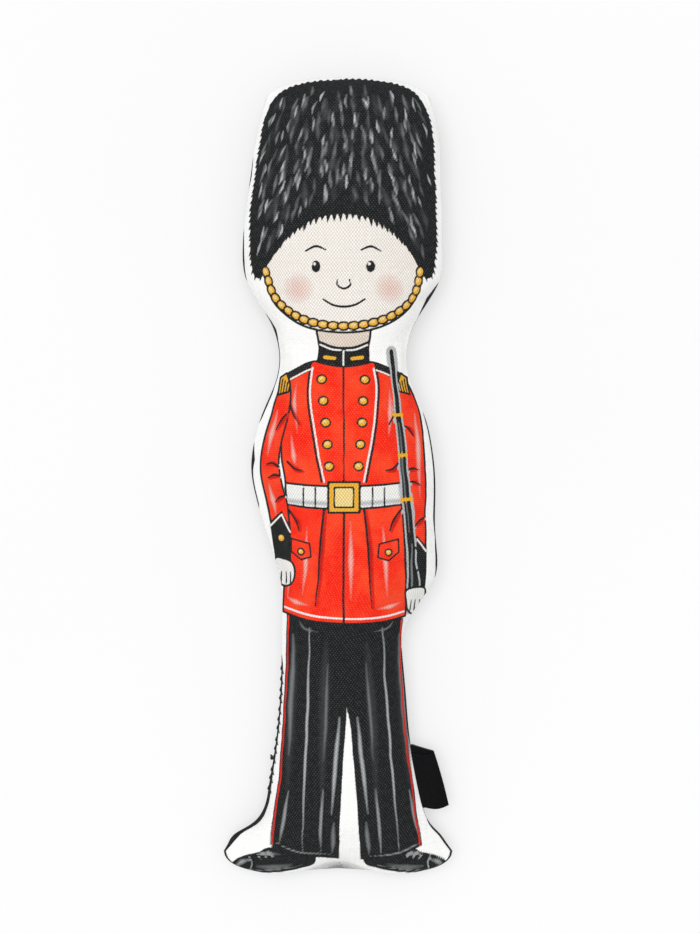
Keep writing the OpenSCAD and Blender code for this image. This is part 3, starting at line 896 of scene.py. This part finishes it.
# Light on the cloth, mirrored on the other leg: (points, grey, width)
CREASES = [
    ([(-23.6, 120), (-25.4, 84), (-27.4, 44)], 56, 7), ([(-7.4, 118), (-8.6, 84), (-9.6, 40)], 54, 6),
    ([(-15, 126), (-16.2, 90), (-17.8, 55), (-19.4, 13.4)], 190, 1.8),
    ([(-24, 122), (-25.3, 92), (-26.4, 62)], 128, 3.6), ([(-6.6, 108), (-7.6, 84), (-8.6, 60)], 118, 1.8),
    ([(-9, 46), (-10, 30), (-10.8, 13)], 160, 1.9), ([(-26.4, 44), (-28.6, 30), (-30.4, 18.6)], 160, 2.2),
    ([(-1.6, 82), (-3.2, 60), (-5, 34)], 186, 2.4), ([(-4, 30), (-4.6, 20), (-5.2, 12)], 130, 2.6),
    ([(-20.4, 129), (-17.4, 125.4), (-11, 123.8)], 118, 1.5),
    ([(-33, 18.6), (-20, 13.6), (-4.4, 10.8)], 150, 1.3)]
RIGHT_LEG_MIDDLE = 1.4
LEG_SPREAD = 0.04


def trousers(picture):
    """Dark trousers with a red stripe down each outer side and pressed creases."""
    picture.fill_ink(curve(TROUSERS, True))
    for points, level, width in CREASES:
        right = [(x + LEG_SPREAD * (130 - y), y) for x, y in mirrored(points, RIGHT_LEG_MIDDLE)]
        for side in (points, right):
            picture.brush(curve(side), grey(level), 0.5 * width, width, width, 0.4 * width)
    for stripe in (STRIPE_LEFT, STRIPE_RIGHT):
        picture.redden(*picture.band(curve(stripe), [STRIPE_WIDTH]))


SHOE = [(-16, 12), (-34, 15.8), (-41.5, 12.8), (-49.5, 10), (-54, 6.8), (-55, 3.8), (-52, 1.8), (-43, 1),
        (-32, 1.8), (-22, 3.8), (-14, 6.4)]
SHOE_SHINE = [
    ([(-52.4, 4.2), (-49.6, 7), (-46.4, 8.2)], 166, 3.6), ([(-42, 5), (-34, 5.2), (-25, 6.8)], 118, 3.8),
    ([(-40.6, 12), (-36, 12.8), (-30, 12.6)], 108, 2.6)]
LACES = [[(-42, 11.4), (-40, 9.4)], [(-39.2, 12.4), (-37, 10)], [(-36.2, 13), (-34, 10.6)],
         [(-46, 10.2), (-44.6, 7.4), (-45, 3.4)]]
SHOE_SOLE = [(-54, 3), (-46, 2.5), (-34, 3), (-20, 6)]
RIGHT_SHOE_MIDDLE = -1.6


def shoes(picture):
    """Black laced shoes with the toes turned out."""
    for way in (list, lambda points: mirrored(points, RIGHT_SHOE_MIDDLE)):
        picture.fill_ink(curve(way(SHOE), True))
        for points, level, width in SHOE_SHINE:
            picture.brush(curve(way(points)), grey(level), 0.5 * width, width, 0.4 * width)
        for lace in LACES:
            picture.light(curve(way(lace)), grey(160), 0.8)
        picture.light(curve(way(SHOE_SOLE)), grey(120), 0.7)


def attach(mesh, name, kind, field, values):
    mesh.attributes.new(name, kind, "POINT").data.foreach_set(field, values.ravel())


def dress_front(mesh, places):
    """Lays the picture on the outer face, from the back layers to the front; all else stays plain canvas."""
    flat = finer(places, FINE).reshape(-1, 2)
    picture = Picture(flat)
    for layer in (shoes, trousers, face, bearskin, chin_chain, tunic, sleeves, collar, musket):
        layer(picture)
    rest = len(mesh.vertices) - len(flat)
    colour = np.vstack([picture.colour, np.tile(CANVAS, (rest, 1))])
    attach(mesh, "print", "FLOAT_COLOR", "color", np.insert(colour, 3, 1, axis=1))
    for name, depth in (("red", picture.red), ("ink", picture.ink)):
        attach(mesh, name, "FLOAT", "value", np.append(depth, np.full(rest, -Picture.FAR)))


def lay_threads(mesh, outer):
    """Distances across and up the cloth; edges and the inner face follow their own places."""
    across = lengths(outer, 1)
    along = lengths(outer) + outer[:1, :, 1]
    middle = outer.shape[1] // 2
    threads = np.stack([across - across[:, middle:middle + 1], along, 0 * along], -1).reshape(-1, 3)
    places = np.empty(len(mesh.vertices) * 3)
    mesh.vertices.foreach_get("co", places)
    places = places.reshape(-1, 3) / MM
    places[:len(threads)] = threads
    attach(mesh, "cloth", "FLOAT_VECTOR", "vector", places)


dress_front(front_mesh, front_places)
lay_threads(front_mesh, front_outer)
lay_threads(back_mesh, back_outer)


# Materials

class Value:
    """Output of a shader node, on which sums are written as usual."""

    def __init__(self, nodes, socket):
        self.nodes = nodes
        self.socket = socket

    def __add__(self, other):
        return self.nodes.sum("ADD", self, other)

    def __sub__(self, other):
        return self.nodes.sum("SUBTRACT", self, other)

    def __rsub__(self, other):
        return self.nodes.sum("SUBTRACT", other, self)

    def __mul__(self, other):
        return self.nodes.sum("MULTIPLY", self, other)

    def __pow__(self, other):
        return self.nodes.sum("POWER", self, other)

    def __abs__(self):
        return self.nodes.sum("ABSOLUTE", self)


class Nodes:
    """Nodes of a new material or world, and short ways to add more."""

    def __init__(self, name, owners="materials"):
        self.owner = getattr(bpy.data, owners).new(name)
        self.owner.use_nodes = True
        self.tree = self.owner.node_tree

    def put(self, socket, value):
        if isinstance(value, Value):
            self.tree.links.new(value.socket, socket)
        elif isinstance(value, np.ndarray):
            socket.default_value = (*value.tolist(), 1.0)
        else:
            socket.default_value = value

    def add(self, kind, inputs, output=0, **settings):
        made = self.tree.nodes.new("ShaderNode" + kind)
        for key, value in settings.items():
            setattr(made, key, value)
        for key, value in inputs.items():
            self.put(made.inputs[key], value)
        return Value(self, made.outputs[output])

    def sum(self, operation, *values):
        return self.add("Math", dict(enumerate(values)), operation=operation)

    def mix(self, share, a, b, kind="MIX"):
        return self.add("Mix", {0: share, 6: a, 7: b}, 2, data_type="RGBA", blend_type=kind)

    def attribute(self, name, output):
        return self.add("Attribute", {}, output, attribute_name=name)

    def part(self, vector, axis):
        return self.add("SeparateXYZ", {"Vector": vector}, axis)

    def own_places(self):
        return self.add("TexCoord", {}, "Object")

    def noise(self, vector, scale, detail=2.0, distortion=0.0):
        inputs = {"Vector": vector, "Scale": scale, "Detail": detail, "Distortion": distortion}
        return self.add("TexNoise", inputs, "Fac")

    def range(self, *values):
        """A smooth step: (value, low, high) and where low and high come to lie, if not at 0 and 1."""
        return self.add("MapRange", dict(enumerate(values)), interpolation_type="SMOOTHSTEP")

    def bump(self, height, distance, strength=1.0):
        return self.add("Bump", {"Height": height, "Distance": distance * MM, "Strength": strength}, "Normal")

    def seen(self):
        """1 for what the eye sees, also in a mirror or through glass, and 0 for what only light meets."""
        rays = [self.add("LightPath", {}, f"Is {kind} Ray") for kind in ("Camera", "Glossy", "Transmission")]
        return self.sum("MAXIMUM", self.sum("MAXIMUM", rays[0], rays[1]), rays[2])

    def finish(self, shader="Principled BSDF", **inputs):
        for key, value in inputs.items():
            self.put(self.tree.nodes[shader].inputs[key.replace("_", " ")], value)
        return self.owner


# Weave: distance of threads across and along, level of the weft, bareness and grain of the print, and relief
WARP = 0.755
WEFT = 1.0
WEFT_LEVEL = 0.55
BARE_CREST = 0.11
TINT_GRAIN = 0.28
THREAD_RISE = 0.16
# Reds of the coat and of the stripes, and the places along the cloth between which one gives way to the other
DARKER_RED = srgb(250, 36, 4)
PALER_RED = srgb(255, 70, 30)
STRIPE_RED = srgb(206, 40, 32)
HEM_LEVEL = (-75.0, -67.0)


def plain_weave(nodes, places):
    """Height of a plain weave, where threads rise and dip in turn, and where the warp lies on top."""
    wander = (nodes.noise(places, 0.2) - 0.5) * 0.7
    a, b = [nodes.sum("SINE", (nodes.part(places, axis) + wander) * (math.pi / pitch))
            for axis, pitch in (("X", WARP), ("Y", WEFT))]
    both = a * b
    over = nodes.sum("GREATER_THAN", both, 0.0)
    a, b = abs(a), abs(b)
    upright = a * b ** 0.4
    level = b * a ** 0.4 * WEFT_LEVEL
    return level + over * (upright - level), nodes.range(both, -0.6, 0.6)


def thread_tone(nodes, places, amount):
    """Threads of slightly different tone running both ways."""
    across, along = [nodes.noise(nodes.add("Mapping", {"Vector": places, "Scale": stretch}), 1.0, 1.0)
                     for stretch in ((1.3, 0.05, 1), (0.05, 1.0, 1))]
    return (across + along) * amount + (1 - amount)


def cotton(nodes, places, height, colour, **inputs):
    """Rough cotton with raised threads."""
    rough = nodes.range(nodes.noise(places, 0.6), 0.2, 0.8, 0.78, 0.92)
    relief = nodes.bump(height, THREAD_RISE, 0.7)
    return nodes.finish(Base_Color=colour, Roughness=rough, Normal=relief, **inputs)


def printed_canvas():
    """White cotton canvas with the picture's colours sunk into its threads, and painted shade in the valleys
    between them.
    """
    nodes = Nodes("printed_canvas")
    places = nodes.attribute("cloth", "Vector")
    height, warp_over = plain_weave(nodes, places)
    weft_over = 1 - warp_over
    ragged = (nodes.noise(places, 2.2) - 0.5) * 0.35
    red, ink = [nodes.range(nodes.attribute(name, "Fac") + ragged, -0.14, 0.14) for name in ("red", "ink")]
    painted = nodes.attribute("print", "Color")
    cloud = nodes.range(nodes.noise(places, 0.05, 3.0), 0.35, 0.65)
    above_hem = nodes.range(nodes.part(places, "Y"), *HEM_LEVEL)
    reds = nodes.mix(above_hem, STRIPE_RED, nodes.mix(cloud, DARKER_RED, PALER_RED))
    colour = nodes.mix(ink, nodes.mix(red, painted, reds), INK)
    crest = (height * (1 / WEFT_LEVEL)) ** 2.0
    worn = nodes.range(nodes.noise(places, 0.45, 3.0), 0.3, 0.7, 0.5 * BARE_CREST, 1.5 * BARE_CREST)
    colour = nodes.mix(weft_over * crest * worn, colour, CANVAS * 0.8)
    # Painted shade: darker in the valleys between threads and where the weft lies on top; threads also differ
    # in tone, and the print's grain darkens the weft further
    shade_and_grain = thread_tone(nodes, places, 0.12) * nodes.range(height, 0.0, 0.8, 0.94, 1.0)
    shade_and_grain = shade_and_grain * nodes.range(warp_over, 0.0, 1.0, 0.93, 1.0)
    tinted = nodes.range(nodes.add("SeparateColor", {"Color": painted}, "Blue"), 0.96, 0.82)
    tinted = tinted * nodes.range(red, 0.0, 1.0, TINT_GRAIN, 0.1 * TINT_GRAIN)
    shade_and_grain = shade_and_grain * (1 - tinted * weft_over)
    colour = nodes.mix(1.0, colour, shade_and_grain, "MULTIPLY")
    return cotton(nodes, places, height, colour, Specular_IOR_Level=0.03)


def dark_canvas():
    """Black cotton canvas with dusty threads, painted paler on their crests and darker in the valleys between
    them.
    """
    nodes = Nodes("dark_canvas")
    places = nodes.attribute("cloth", "Vector")
    height, warp_over = plain_weave(nodes, places)
    tone = thread_tone(nodes, places, 0.6) * nodes.range(warp_over, 0.0, 1.0, 0.55, 1.0)
    lint = nodes.range(nodes.noise(places, 0.09, 4.0), 0.45, 0.75, 0.0, 0.3)
    # Painted highlight and shade: paler on thread crests, darker in the valleys and where the weft lies on
    # top; the lint is grey dust
    colour = nodes.mix(lint, nodes.mix(height * tone, srgb(12, 12, 14), srgb(38, 38, 41)), srgb(52, 52, 55))
    return cotton(nodes, places, height, colour, Specular_IOR_Level=0.25, Sheen_Weight=0.12)


def fibre():
    """White polyester fibre."""
    nodes = Nodes("fibre")
    strands = nodes.noise(nodes.own_places(), 900.0, 6.0, 2.5)
    colour = nodes.mix(nodes.range(strands, 0.3, 0.7), srgb(225, 225, 222), srgb(246, 246, 244))
    return nodes.finish(Base_Color=colour, Roughness=0.95, Normal=nodes.bump(strands, 0.6), Sheen_Weight=0.3)


def thread():
    """Twisted black sewing thread."""
    nodes = Nodes("thread")
    inputs = {"Vector": nodes.own_places(), "Scale": 900.0, "Distortion": 1.5}
    ply = nodes.add("TexWave", inputs, "Fac", bands_direction="DIAGONAL")
    colour = nodes.mix(ply, srgb(10, 10, 11), srgb(36, 36, 39))
    return nodes.finish(Base_Color=colour, Roughness=0.6, Normal=nodes.bump(ply, 0.05), Sheen_Weight=0.1)


# Folded ribbon: thickness, width, how far its ends and its fold lie along the seam, and how it hangs
RIBBON_T = 0.22
RIBBON_W = 28.5
UPPER_SHIFT = -1.7
LOWER_SHIFT = 2.5
FOLD_SHIFT = -3.0
SAG = 1.3
REACH = 12.1
TAPER = 0.17
TAIL = 7
RIBBON_STEPS = 28
# The layers' gap at the seam, their bulge and spread to the fold, and how far the fold turns, juts and opens
LAYER_GAP = 0.13
BULGE = 0.34
SPREAD = 0.12
FOLD_TURN = 80
FOLD_OUT = 0.75
FOLD_UP = 0.25
# How the free end droops, curls and bows, and the stretch at the seam over which it bends
DROOP = 0.9
CURL = 0.5
BOW = 0.4


def ribbon():
    """Black satin ribbon with fine cords painted paler on their crests, and a painted highlight along one
    edge of its lower layer.
    """
    nodes = Nodes("ribbon")
    places = nodes.attribute("cloth", "Vector")
    x, y = [nodes.part(places, axis) for axis in "XY"]
    cords, picks = [abs(nodes.sum("SINE", at * (math.pi / pitch))) for at, pitch in ((y, 0.32), (x, 0.45))]
    height = cords * 0.8 + picks * 0.2
    # Painted highlight: a pale line along one long edge of the lower layer, past the fold
    edge = nodes.range(y, RIBBON_W / 2 - 0.7, RIBBON_W / 2 - 0.3) * nodes.sum("GREATER_THAN", x, TAIL + REACH)
    colour = nodes.mix(edge * 0.7, nodes.mix(height, srgb(4, 4, 5), srgb(14, 14, 16)), srgb(92, 92, 96))
    rough = nodes.range(nodes.noise(places, 0.5), 0.3, 0.7, 0.5, 0.64)
    return nodes.finish(Base_Color=colour, Roughness=rough, Normal=nodes.bump(height, 0.05, 0.6),
                        Specular_IOR_Level=0.05)


TABLE_GLOW = 0.55


def table_top():
    """Smooth white table, pale enough that a shadow on it stays faint."""
    nodes = Nodes("table_top")
    cloud = nodes.range(nodes.noise(nodes.own_places(), 2.0, 3.0), 0.3, 0.7)
    share = nodes.seen() * TABLE_GLOW
    colour = nodes.mix(share, nodes.mix(cloud, srgb(239, 239, 239), srgb(242, 242, 242)), srgb(0, 0, 0))
    return nodes.finish(Base_Color=colour, Roughness=0.9, Specular_IOR_Level=0.1,
                        Emission_Color=srgb(252, 252, 252), Emission_Strength=share)


# Stuffing, thread and label

def piece(name, mesh, material, body="doll", nodes=()):
    """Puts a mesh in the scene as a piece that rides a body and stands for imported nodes."""
    made = bpy.data.objects.new(name, mesh)
    mesh.materials.append(material)
    scene.collection.objects.link(made)
    if body:
        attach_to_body(made, body)
    if nodes:
        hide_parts(*nodes)
    return made


# Room between stuffing and cloth, points across a section, lumpiness, and how its ends are rounded
FLANGE_CLEAR = 1.0
FILL_CLEAR = 0.9
FILL_SIDE = 30
LUMPS = 0.12
END_ROWS = 4
END_ROUND = 2.5


def lumps(x, y, z):
    """Uneven clumps of fibre, from 0 to 1."""
    wave = np.sin(0.31 * x + 1.4 * np.sin(0.17 * y)) * np.sin(0.27 * y + 1.1 * np.sin(0.23 * x + 0.3 * z))
    small = np.sin(0.83 * x + 0.4 * z) * np.sin(0.71 * y - 0.5 * z)
    return np.clip(0.5 + 0.35 * wave + 0.15 * small, 0, 1)


def filling_section(row, share):
    """One closed ring of stuffing inside both panels, squeezed to share of its size."""
    top, low = front_inner[row], back_inner[row]
    inset = ALLOWANCE + FLANGE_CLEAR
    left = max(top[0, 0], low[0, 0]) + inset
    right = min(top[-1, 0], low[-1, 0]) - inset
    v = np.sin(np.linspace(-1, 1, FILL_SIDE + 1) * math.pi / 2)
    x = (left + right) / 2 + v * share * (right - left) / 2
    y = np.interp(x, top[:, 0], top[:, 1])
    high = np.interp(x, top[:, 0], top[:, 2]) - FILL_CLEAR
    deep = np.interp(x, low[:, 0], low[:, 2]) + FILL_CLEAR
    middle = (high + deep) / 2
    round_off = share * (1 - np.abs(v) ** 8) ** 0.5
    rings = []
    for level in (high, deep):
        z = middle + (level - middle) * round_off
        z += (middle - z) * LUMPS * lumps(x, y, level)
        rings.append(np.stack([x, y, z], -1))
    return np.vstack([rings[0], rings[1][-2:0:-1]])


def ring_ids(count, around):
    """Indices of the points on stacked rings, and of the next point on each ring."""
    ids = np.arange(count * around).reshape(count, around)
    return ids, np.roll(ids, -1, axis=1)


def filling(node, material):
    """A soft clump of fibre filling one stretch of the figure."""
    low, high = (corner.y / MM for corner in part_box(node))
    heights = front_inner[:, SIM_COLUMNS // 2, 1]
    rows = np.flatnonzero((heights > low) & (heights < high))
    ends = np.minimum(1, np.minimum(rows - rows[0] + 1, rows[-1] - rows + 1) / END_ROWS)
    shares = (1 - (1 - ends) ** END_ROUND) ** (1 / END_ROUND)
    rings = np.array([filling_section(*each) for each in zip(rows, shares)])
    ids, after = ring_ids(*rings.shape[:2])
    faces = np.stack([ids[:-1], ids[1:], after[1:], after[:-1]], axis=-1).reshape(-1, 4).tolist()
    points = np.vstack([rings.reshape(-1, 3), rings[0].mean(axis=0), rings[-1].mean(axis=0)])
    faces += [[ids.size, a, b] for a, b in zip(ids[0], after[0])]
    faces += [[ids.size + 1, b, a] for a, b in zip(ids[-1], after[-1])]
    name = node.replace("filling", "fibre")
    return piece(name, soft_mesh(name, points, faces), material, "doll", [node])


# A direction in which no thread sets out
ASIDE = (0.31, 0.17, 0.93)


def tube(points, radius, sides):
    """Points and faces of a round thread along points, closed at its ends."""
    way = np.gradient(points, axis=0)
    way /= np.linalg.norm(way, axis=1, keepdims=True)
    side = np.cross(way[0], ASIDE)
    angles = np.linspace(0, 2 * math.pi, sides, endpoint=False)[:, None]
    rings = []
    for place, along in zip(points, way):
        side = side - along * (side @ along)
        side /= np.linalg.norm(side)
        rings.append(place + radius * (np.cos(angles) * side + np.sin(angles) * np.cross(along, side)))
    ids, after = ring_ids(len(points), sides)
    faces = np.stack([ids[:-1], after[:-1], after[1:], ids[1:]], axis=-1).reshape(-1, 4).tolist()
    return np.vstack(rings), faces + [ids[0][::-1], ids[-1]]


def thread_piece(name, path, radius, sides, material, node):
    piece(name, soft_mesh(name, *tube(path, radius, sides)), material, "doll", [node])


# Machine stitches: length, points, depth, thread, how far in from the fold, and heights of the opening
STITCH = 2.6
STITCH_POINTS = 6
STITCH_DEPTH = 0.8 * CLOTH_T
THREAD_R = 0.22
SEAM_IN = 1.6
OPENING = (41, 106)


def seam_thread(material):
    """Lock stitches of the machine seam, which stops at the opening in the left leg."""
    loop = rim_of(flat_grid(SIM_ROWS * FINE, SIM_COLUMNS * FINE, front_roll, SEAM_IN + FOLD_IN))
    left_side = np.arange(len(loop)) > len(loop) - SIM_ROWS * FINE
    height = loop[:, 1] - FIGURE_Y
    start = np.flatnonzero(left_side & (height < OPENING[0]))[0]
    sewn = ~(left_side & (height > OPENING[0]) & (height < OPENING[1]))
    loop = np.roll(loop, -start, axis=0)[np.roll(sewn, -start)]
    run = lengths(loop)
    at = np.arange(0, run[-1], STITCH / STITCH_POINTS)
    path = read(at, run, loop)
    path[:, 2] += STITCH_DEPTH * np.sin(at * math.pi / STITCH)
    thread_piece("machine_seam", path, THREAD_R, 6, material, "seam_thread")


# Hand stitches: number, distance, lowest one, how much each rises, how uneven they are, and their thread
STITCHES = 13
STITCH_STEP = 5
FIRST_STITCH = 43.5
HAND_RISE = 4.4
UNEVEN = 0.5
UNEVEN_TURN = 2.3
HAND_THREAD_R = 0.32
# Course of one hand stitch: (share of its rise, out from the edge, level off the seam)
HAND_STITCH = [(-0.5, -0.5, 0.9), (-0.4, -0.05, 0.85), (-0.22, 0.2, 0.6), (0, 0.3, 0), (0.22, 0.18, -0.6),
               (0.4, -0.15, -1.0), (0.5, -0.8, -1.2), (0.6, -1.2, -0.2)]


def closing_stitches(material):
    """One thread whipped over the edge of the opening that the stuffing went in by."""
    front, back = [flat_grid(SIM_ROWS * FINE, 2, roll)[:, 0] for roll in (front_roll, back_roll)]
    course = []
    for k in range(STITCHES):
        for share, out, level in HAND_STITCH:
            height = FIRST_STITCH + STITCH_STEP * k + HAND_RISE * share
            height += UNEVEN * math.sin(UNEVEN_TURN * k)
            side = front if level > 0 else back
            course.append(read(height + FIGURE_Y, side[:, 1], side) + [-out, 0, level])
    thread_piece("hand_stitches", curve(course, per=4), HAND_THREAD_R, 7, material, "closing_stitches")


KNOT_SIZE = 0.36
KNOT_OPEN = 0.35
KNOT_POINTS = 60
KNOT_THREAD_R = 0.38


def closing_knot(material):
    """Overhand knot with two cut ends."""
    low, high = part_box("closing_knot")
    centre = np.array((low + high) / 2) / MM
    t = np.linspace(KNOT_OPEN, 2 * math.pi - KNOT_OPEN, KNOT_POINTS)
    loop = np.stack([-np.sin(3 * t), np.sin(t) + 2 * np.sin(2 * t), np.cos(t) - 2 * np.cos(2 * t)], -1)
    first = loop[0] + [(-0.4, 1.5, -1.4), (-0.2, 0.8, -0.7)]
    last = loop[-1] + [(-0.2, -0.8, -0.7), (-0.4, -1.4, -1.4)]
    path = centre + KNOT_SIZE * curve(np.vstack([first, loop, last]), per=2)
    thread_piece("thread_knot", path, KNOT_THREAD_R, 7, material, "closing_knot")


def label_course():
    """Middle line of the folded ribbon: (out, up, 1 on the upper layer and -1 on the lower)."""
    flat = REACH - 1
    out = np.concatenate([np.linspace(-TAIL, -1.2, 6), np.linspace(-0.8, 0.8, 7), np.linspace(1.4, flat, 14)])
    open_up = np.clip(out / flat, 0, 1)
    up = LAYER_GAP + BULGE * np.abs(np.sin(open_up * math.pi)) ** 1.5 + SPREAD * open_up
    upper = np.stack([out, up, np.ones(len(out))], -1)
    turn = np.linspace(FOLD_TURN, -FOLD_TURN, 9)
    angle = np.radians(turn)
    fold = np.stack([flat + FOLD_OUT * np.cos(angle), FOLD_UP * np.sin(angle), turn / FOLD_TURN], -1)
    return np.vstack([upper, fold, upper[::-1] * [1, -1, -1]])


def label_layers(course, steps, middle, axes):
    """Points of the ribbon's two faces, which sag and curl a little where the ribbon is free."""
    way = np.gradient(course[:, :2], axis=0)
    way /= np.linalg.norm(way, axis=1, keepdims=True)
    free = np.clip(course[:, 0] / REACH, 0, 1)
    below = np.clip(-course[:, 2], 0, 1)
    shift = (UPPER_SHIFT + (LOWER_SHIFT - UPPER_SHIFT) * below) * (1 - free) + FOLD_SHIFT * free
    shift -= SAG * (1 - 0.7 * below) * np.sin(free * math.pi)
    layers = []
    for face in (1, -1):
        out, up = (course[:, :2] + face * RIBBON_T / 2 * way[:, ::-1] * [-1, 1]).T
        bow = out * (1 - TAPER * free * (1 + steps) / 2) + BOW * free ** 2 * np.cos(steps * math.pi / 2)
        lift = up - DROOP * free ** 2 + CURL * free * np.sin(2.2 * steps + 0.6)
        layers.append(middle + np.stack([steps * RIBBON_W / 2 + shift, bow, lift], -1) @ axes)
    return np.vstack(layers).reshape(-1, 3)


def label(material):
    """Black ribbon folded double, sewn into the right seam by its ends."""
    hinge = frame["joints"][0]
    middle = np.array(hinge["pos_m"]) / MM
    along = np.array(hinge["axis"])
    out = np.cross(along, (0, 0, 1))
    out /= np.linalg.norm(out)
    course = label_course()
    steps = np.linspace(-1, 1, RIBBON_STEPS + 1)[:, None]
    points = label_layers(course, steps, middle, np.array([along, out, np.cross(out, along)]))
    cols = len(course) - 1
    count = len(points) // 2
    rim = rim_ids(RIBBON_STEPS, cols)
    after = np.roll(rim, -1)
    faces = [grid_quads(RIBBON_STEPS, cols)[:, ::-1], grid_quads(RIBBON_STEPS, cols, count),
             np.stack([rim, after, after + count, rim + count], axis=-1)]
    mesh = soft_mesh("label", points, np.vstack(faces))
    run = lengths(course[:, :2])
    places = np.stack(np.broadcast_arrays(run, steps * RIBBON_W / 2, 0.0), -1).reshape(-1, 3)
    attach(mesh, "cloth", "FLOAT_VECTOR", "vector", np.vstack([places, places]))
    made = piece("label", mesh, material, None, ["label_tail", "label_flap"])
    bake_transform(made)


front_cover = piece("front_cover", front_mesh, printed_canvas(), "doll", ["front_panel"])
back_cover = piece("back_cover", back_mesh, dark_canvas(), "doll", ["back_panel"])
fibre_material = fibre()
thread_material = thread()
fillings = [filling("filling_" + part, fibre_material) for part in ("feet", "legs", "torso", "head", "hat")]
seam_thread(thread_material)
closing_stitches(thread_material)
closing_knot(thread_material)
label(ribbon())


# Table, light and camera

def table():
    bm = bmesh.new()
    bmesh.ops.create_grid(bm, x_segments=1, y_segments=1, size=3)
    mesh = bpy.data.meshes.new("table")
    bm.to_mesh(mesh)
    bm.free()
    piece("table", mesh, table_top(), body=None)


def soft_sky_light(name, direction, width, strength):
    """Wide, even light from one side of the sky."""
    lamp = bpy.data.lights.new(name, "SUN")
    lamp.angle = math.radians(width)
    lamp.energy = strength
    made = bpy.data.objects.new(name, lamp)
    made.rotation_euler = (-Vector(direction)).to_track_quat("-Z", "Y").to_euler()
    scene.collection.objects.link(made)


def daylight(strength):
    """Even white light; the backdrop itself shows white."""
    nodes = Nodes("daylight", "worlds")
    level = nodes.add("MapRange", {"Value": nodes.seen(), "To Min": strength})
    scene.world = nodes.finish("Background", Color=(1, 1, 1, 1), Strength=level)


def camera_above():
    """Straight down on the doll, head up, as the photographer stood over it."""
    view = bpy.data.cameras.new("camera")
    view.sensor_fit = "VERTICAL"
    view.sensor_height = 24
    view.lens = 55.6
    made = bpy.data.objects.new("camera", view)
    made.location = (6.0 * MM, 5.57 * MM, 1.1)
    scene.collection.objects.link(made)
    scene.camera = made


table()
daylight(strength=0.67)
soft_sky_light("window", (-0.2, 0.2, 1.6), width=45, strength=1.5)
camera_above()
scene.view_settings.view_transform = "Standard"
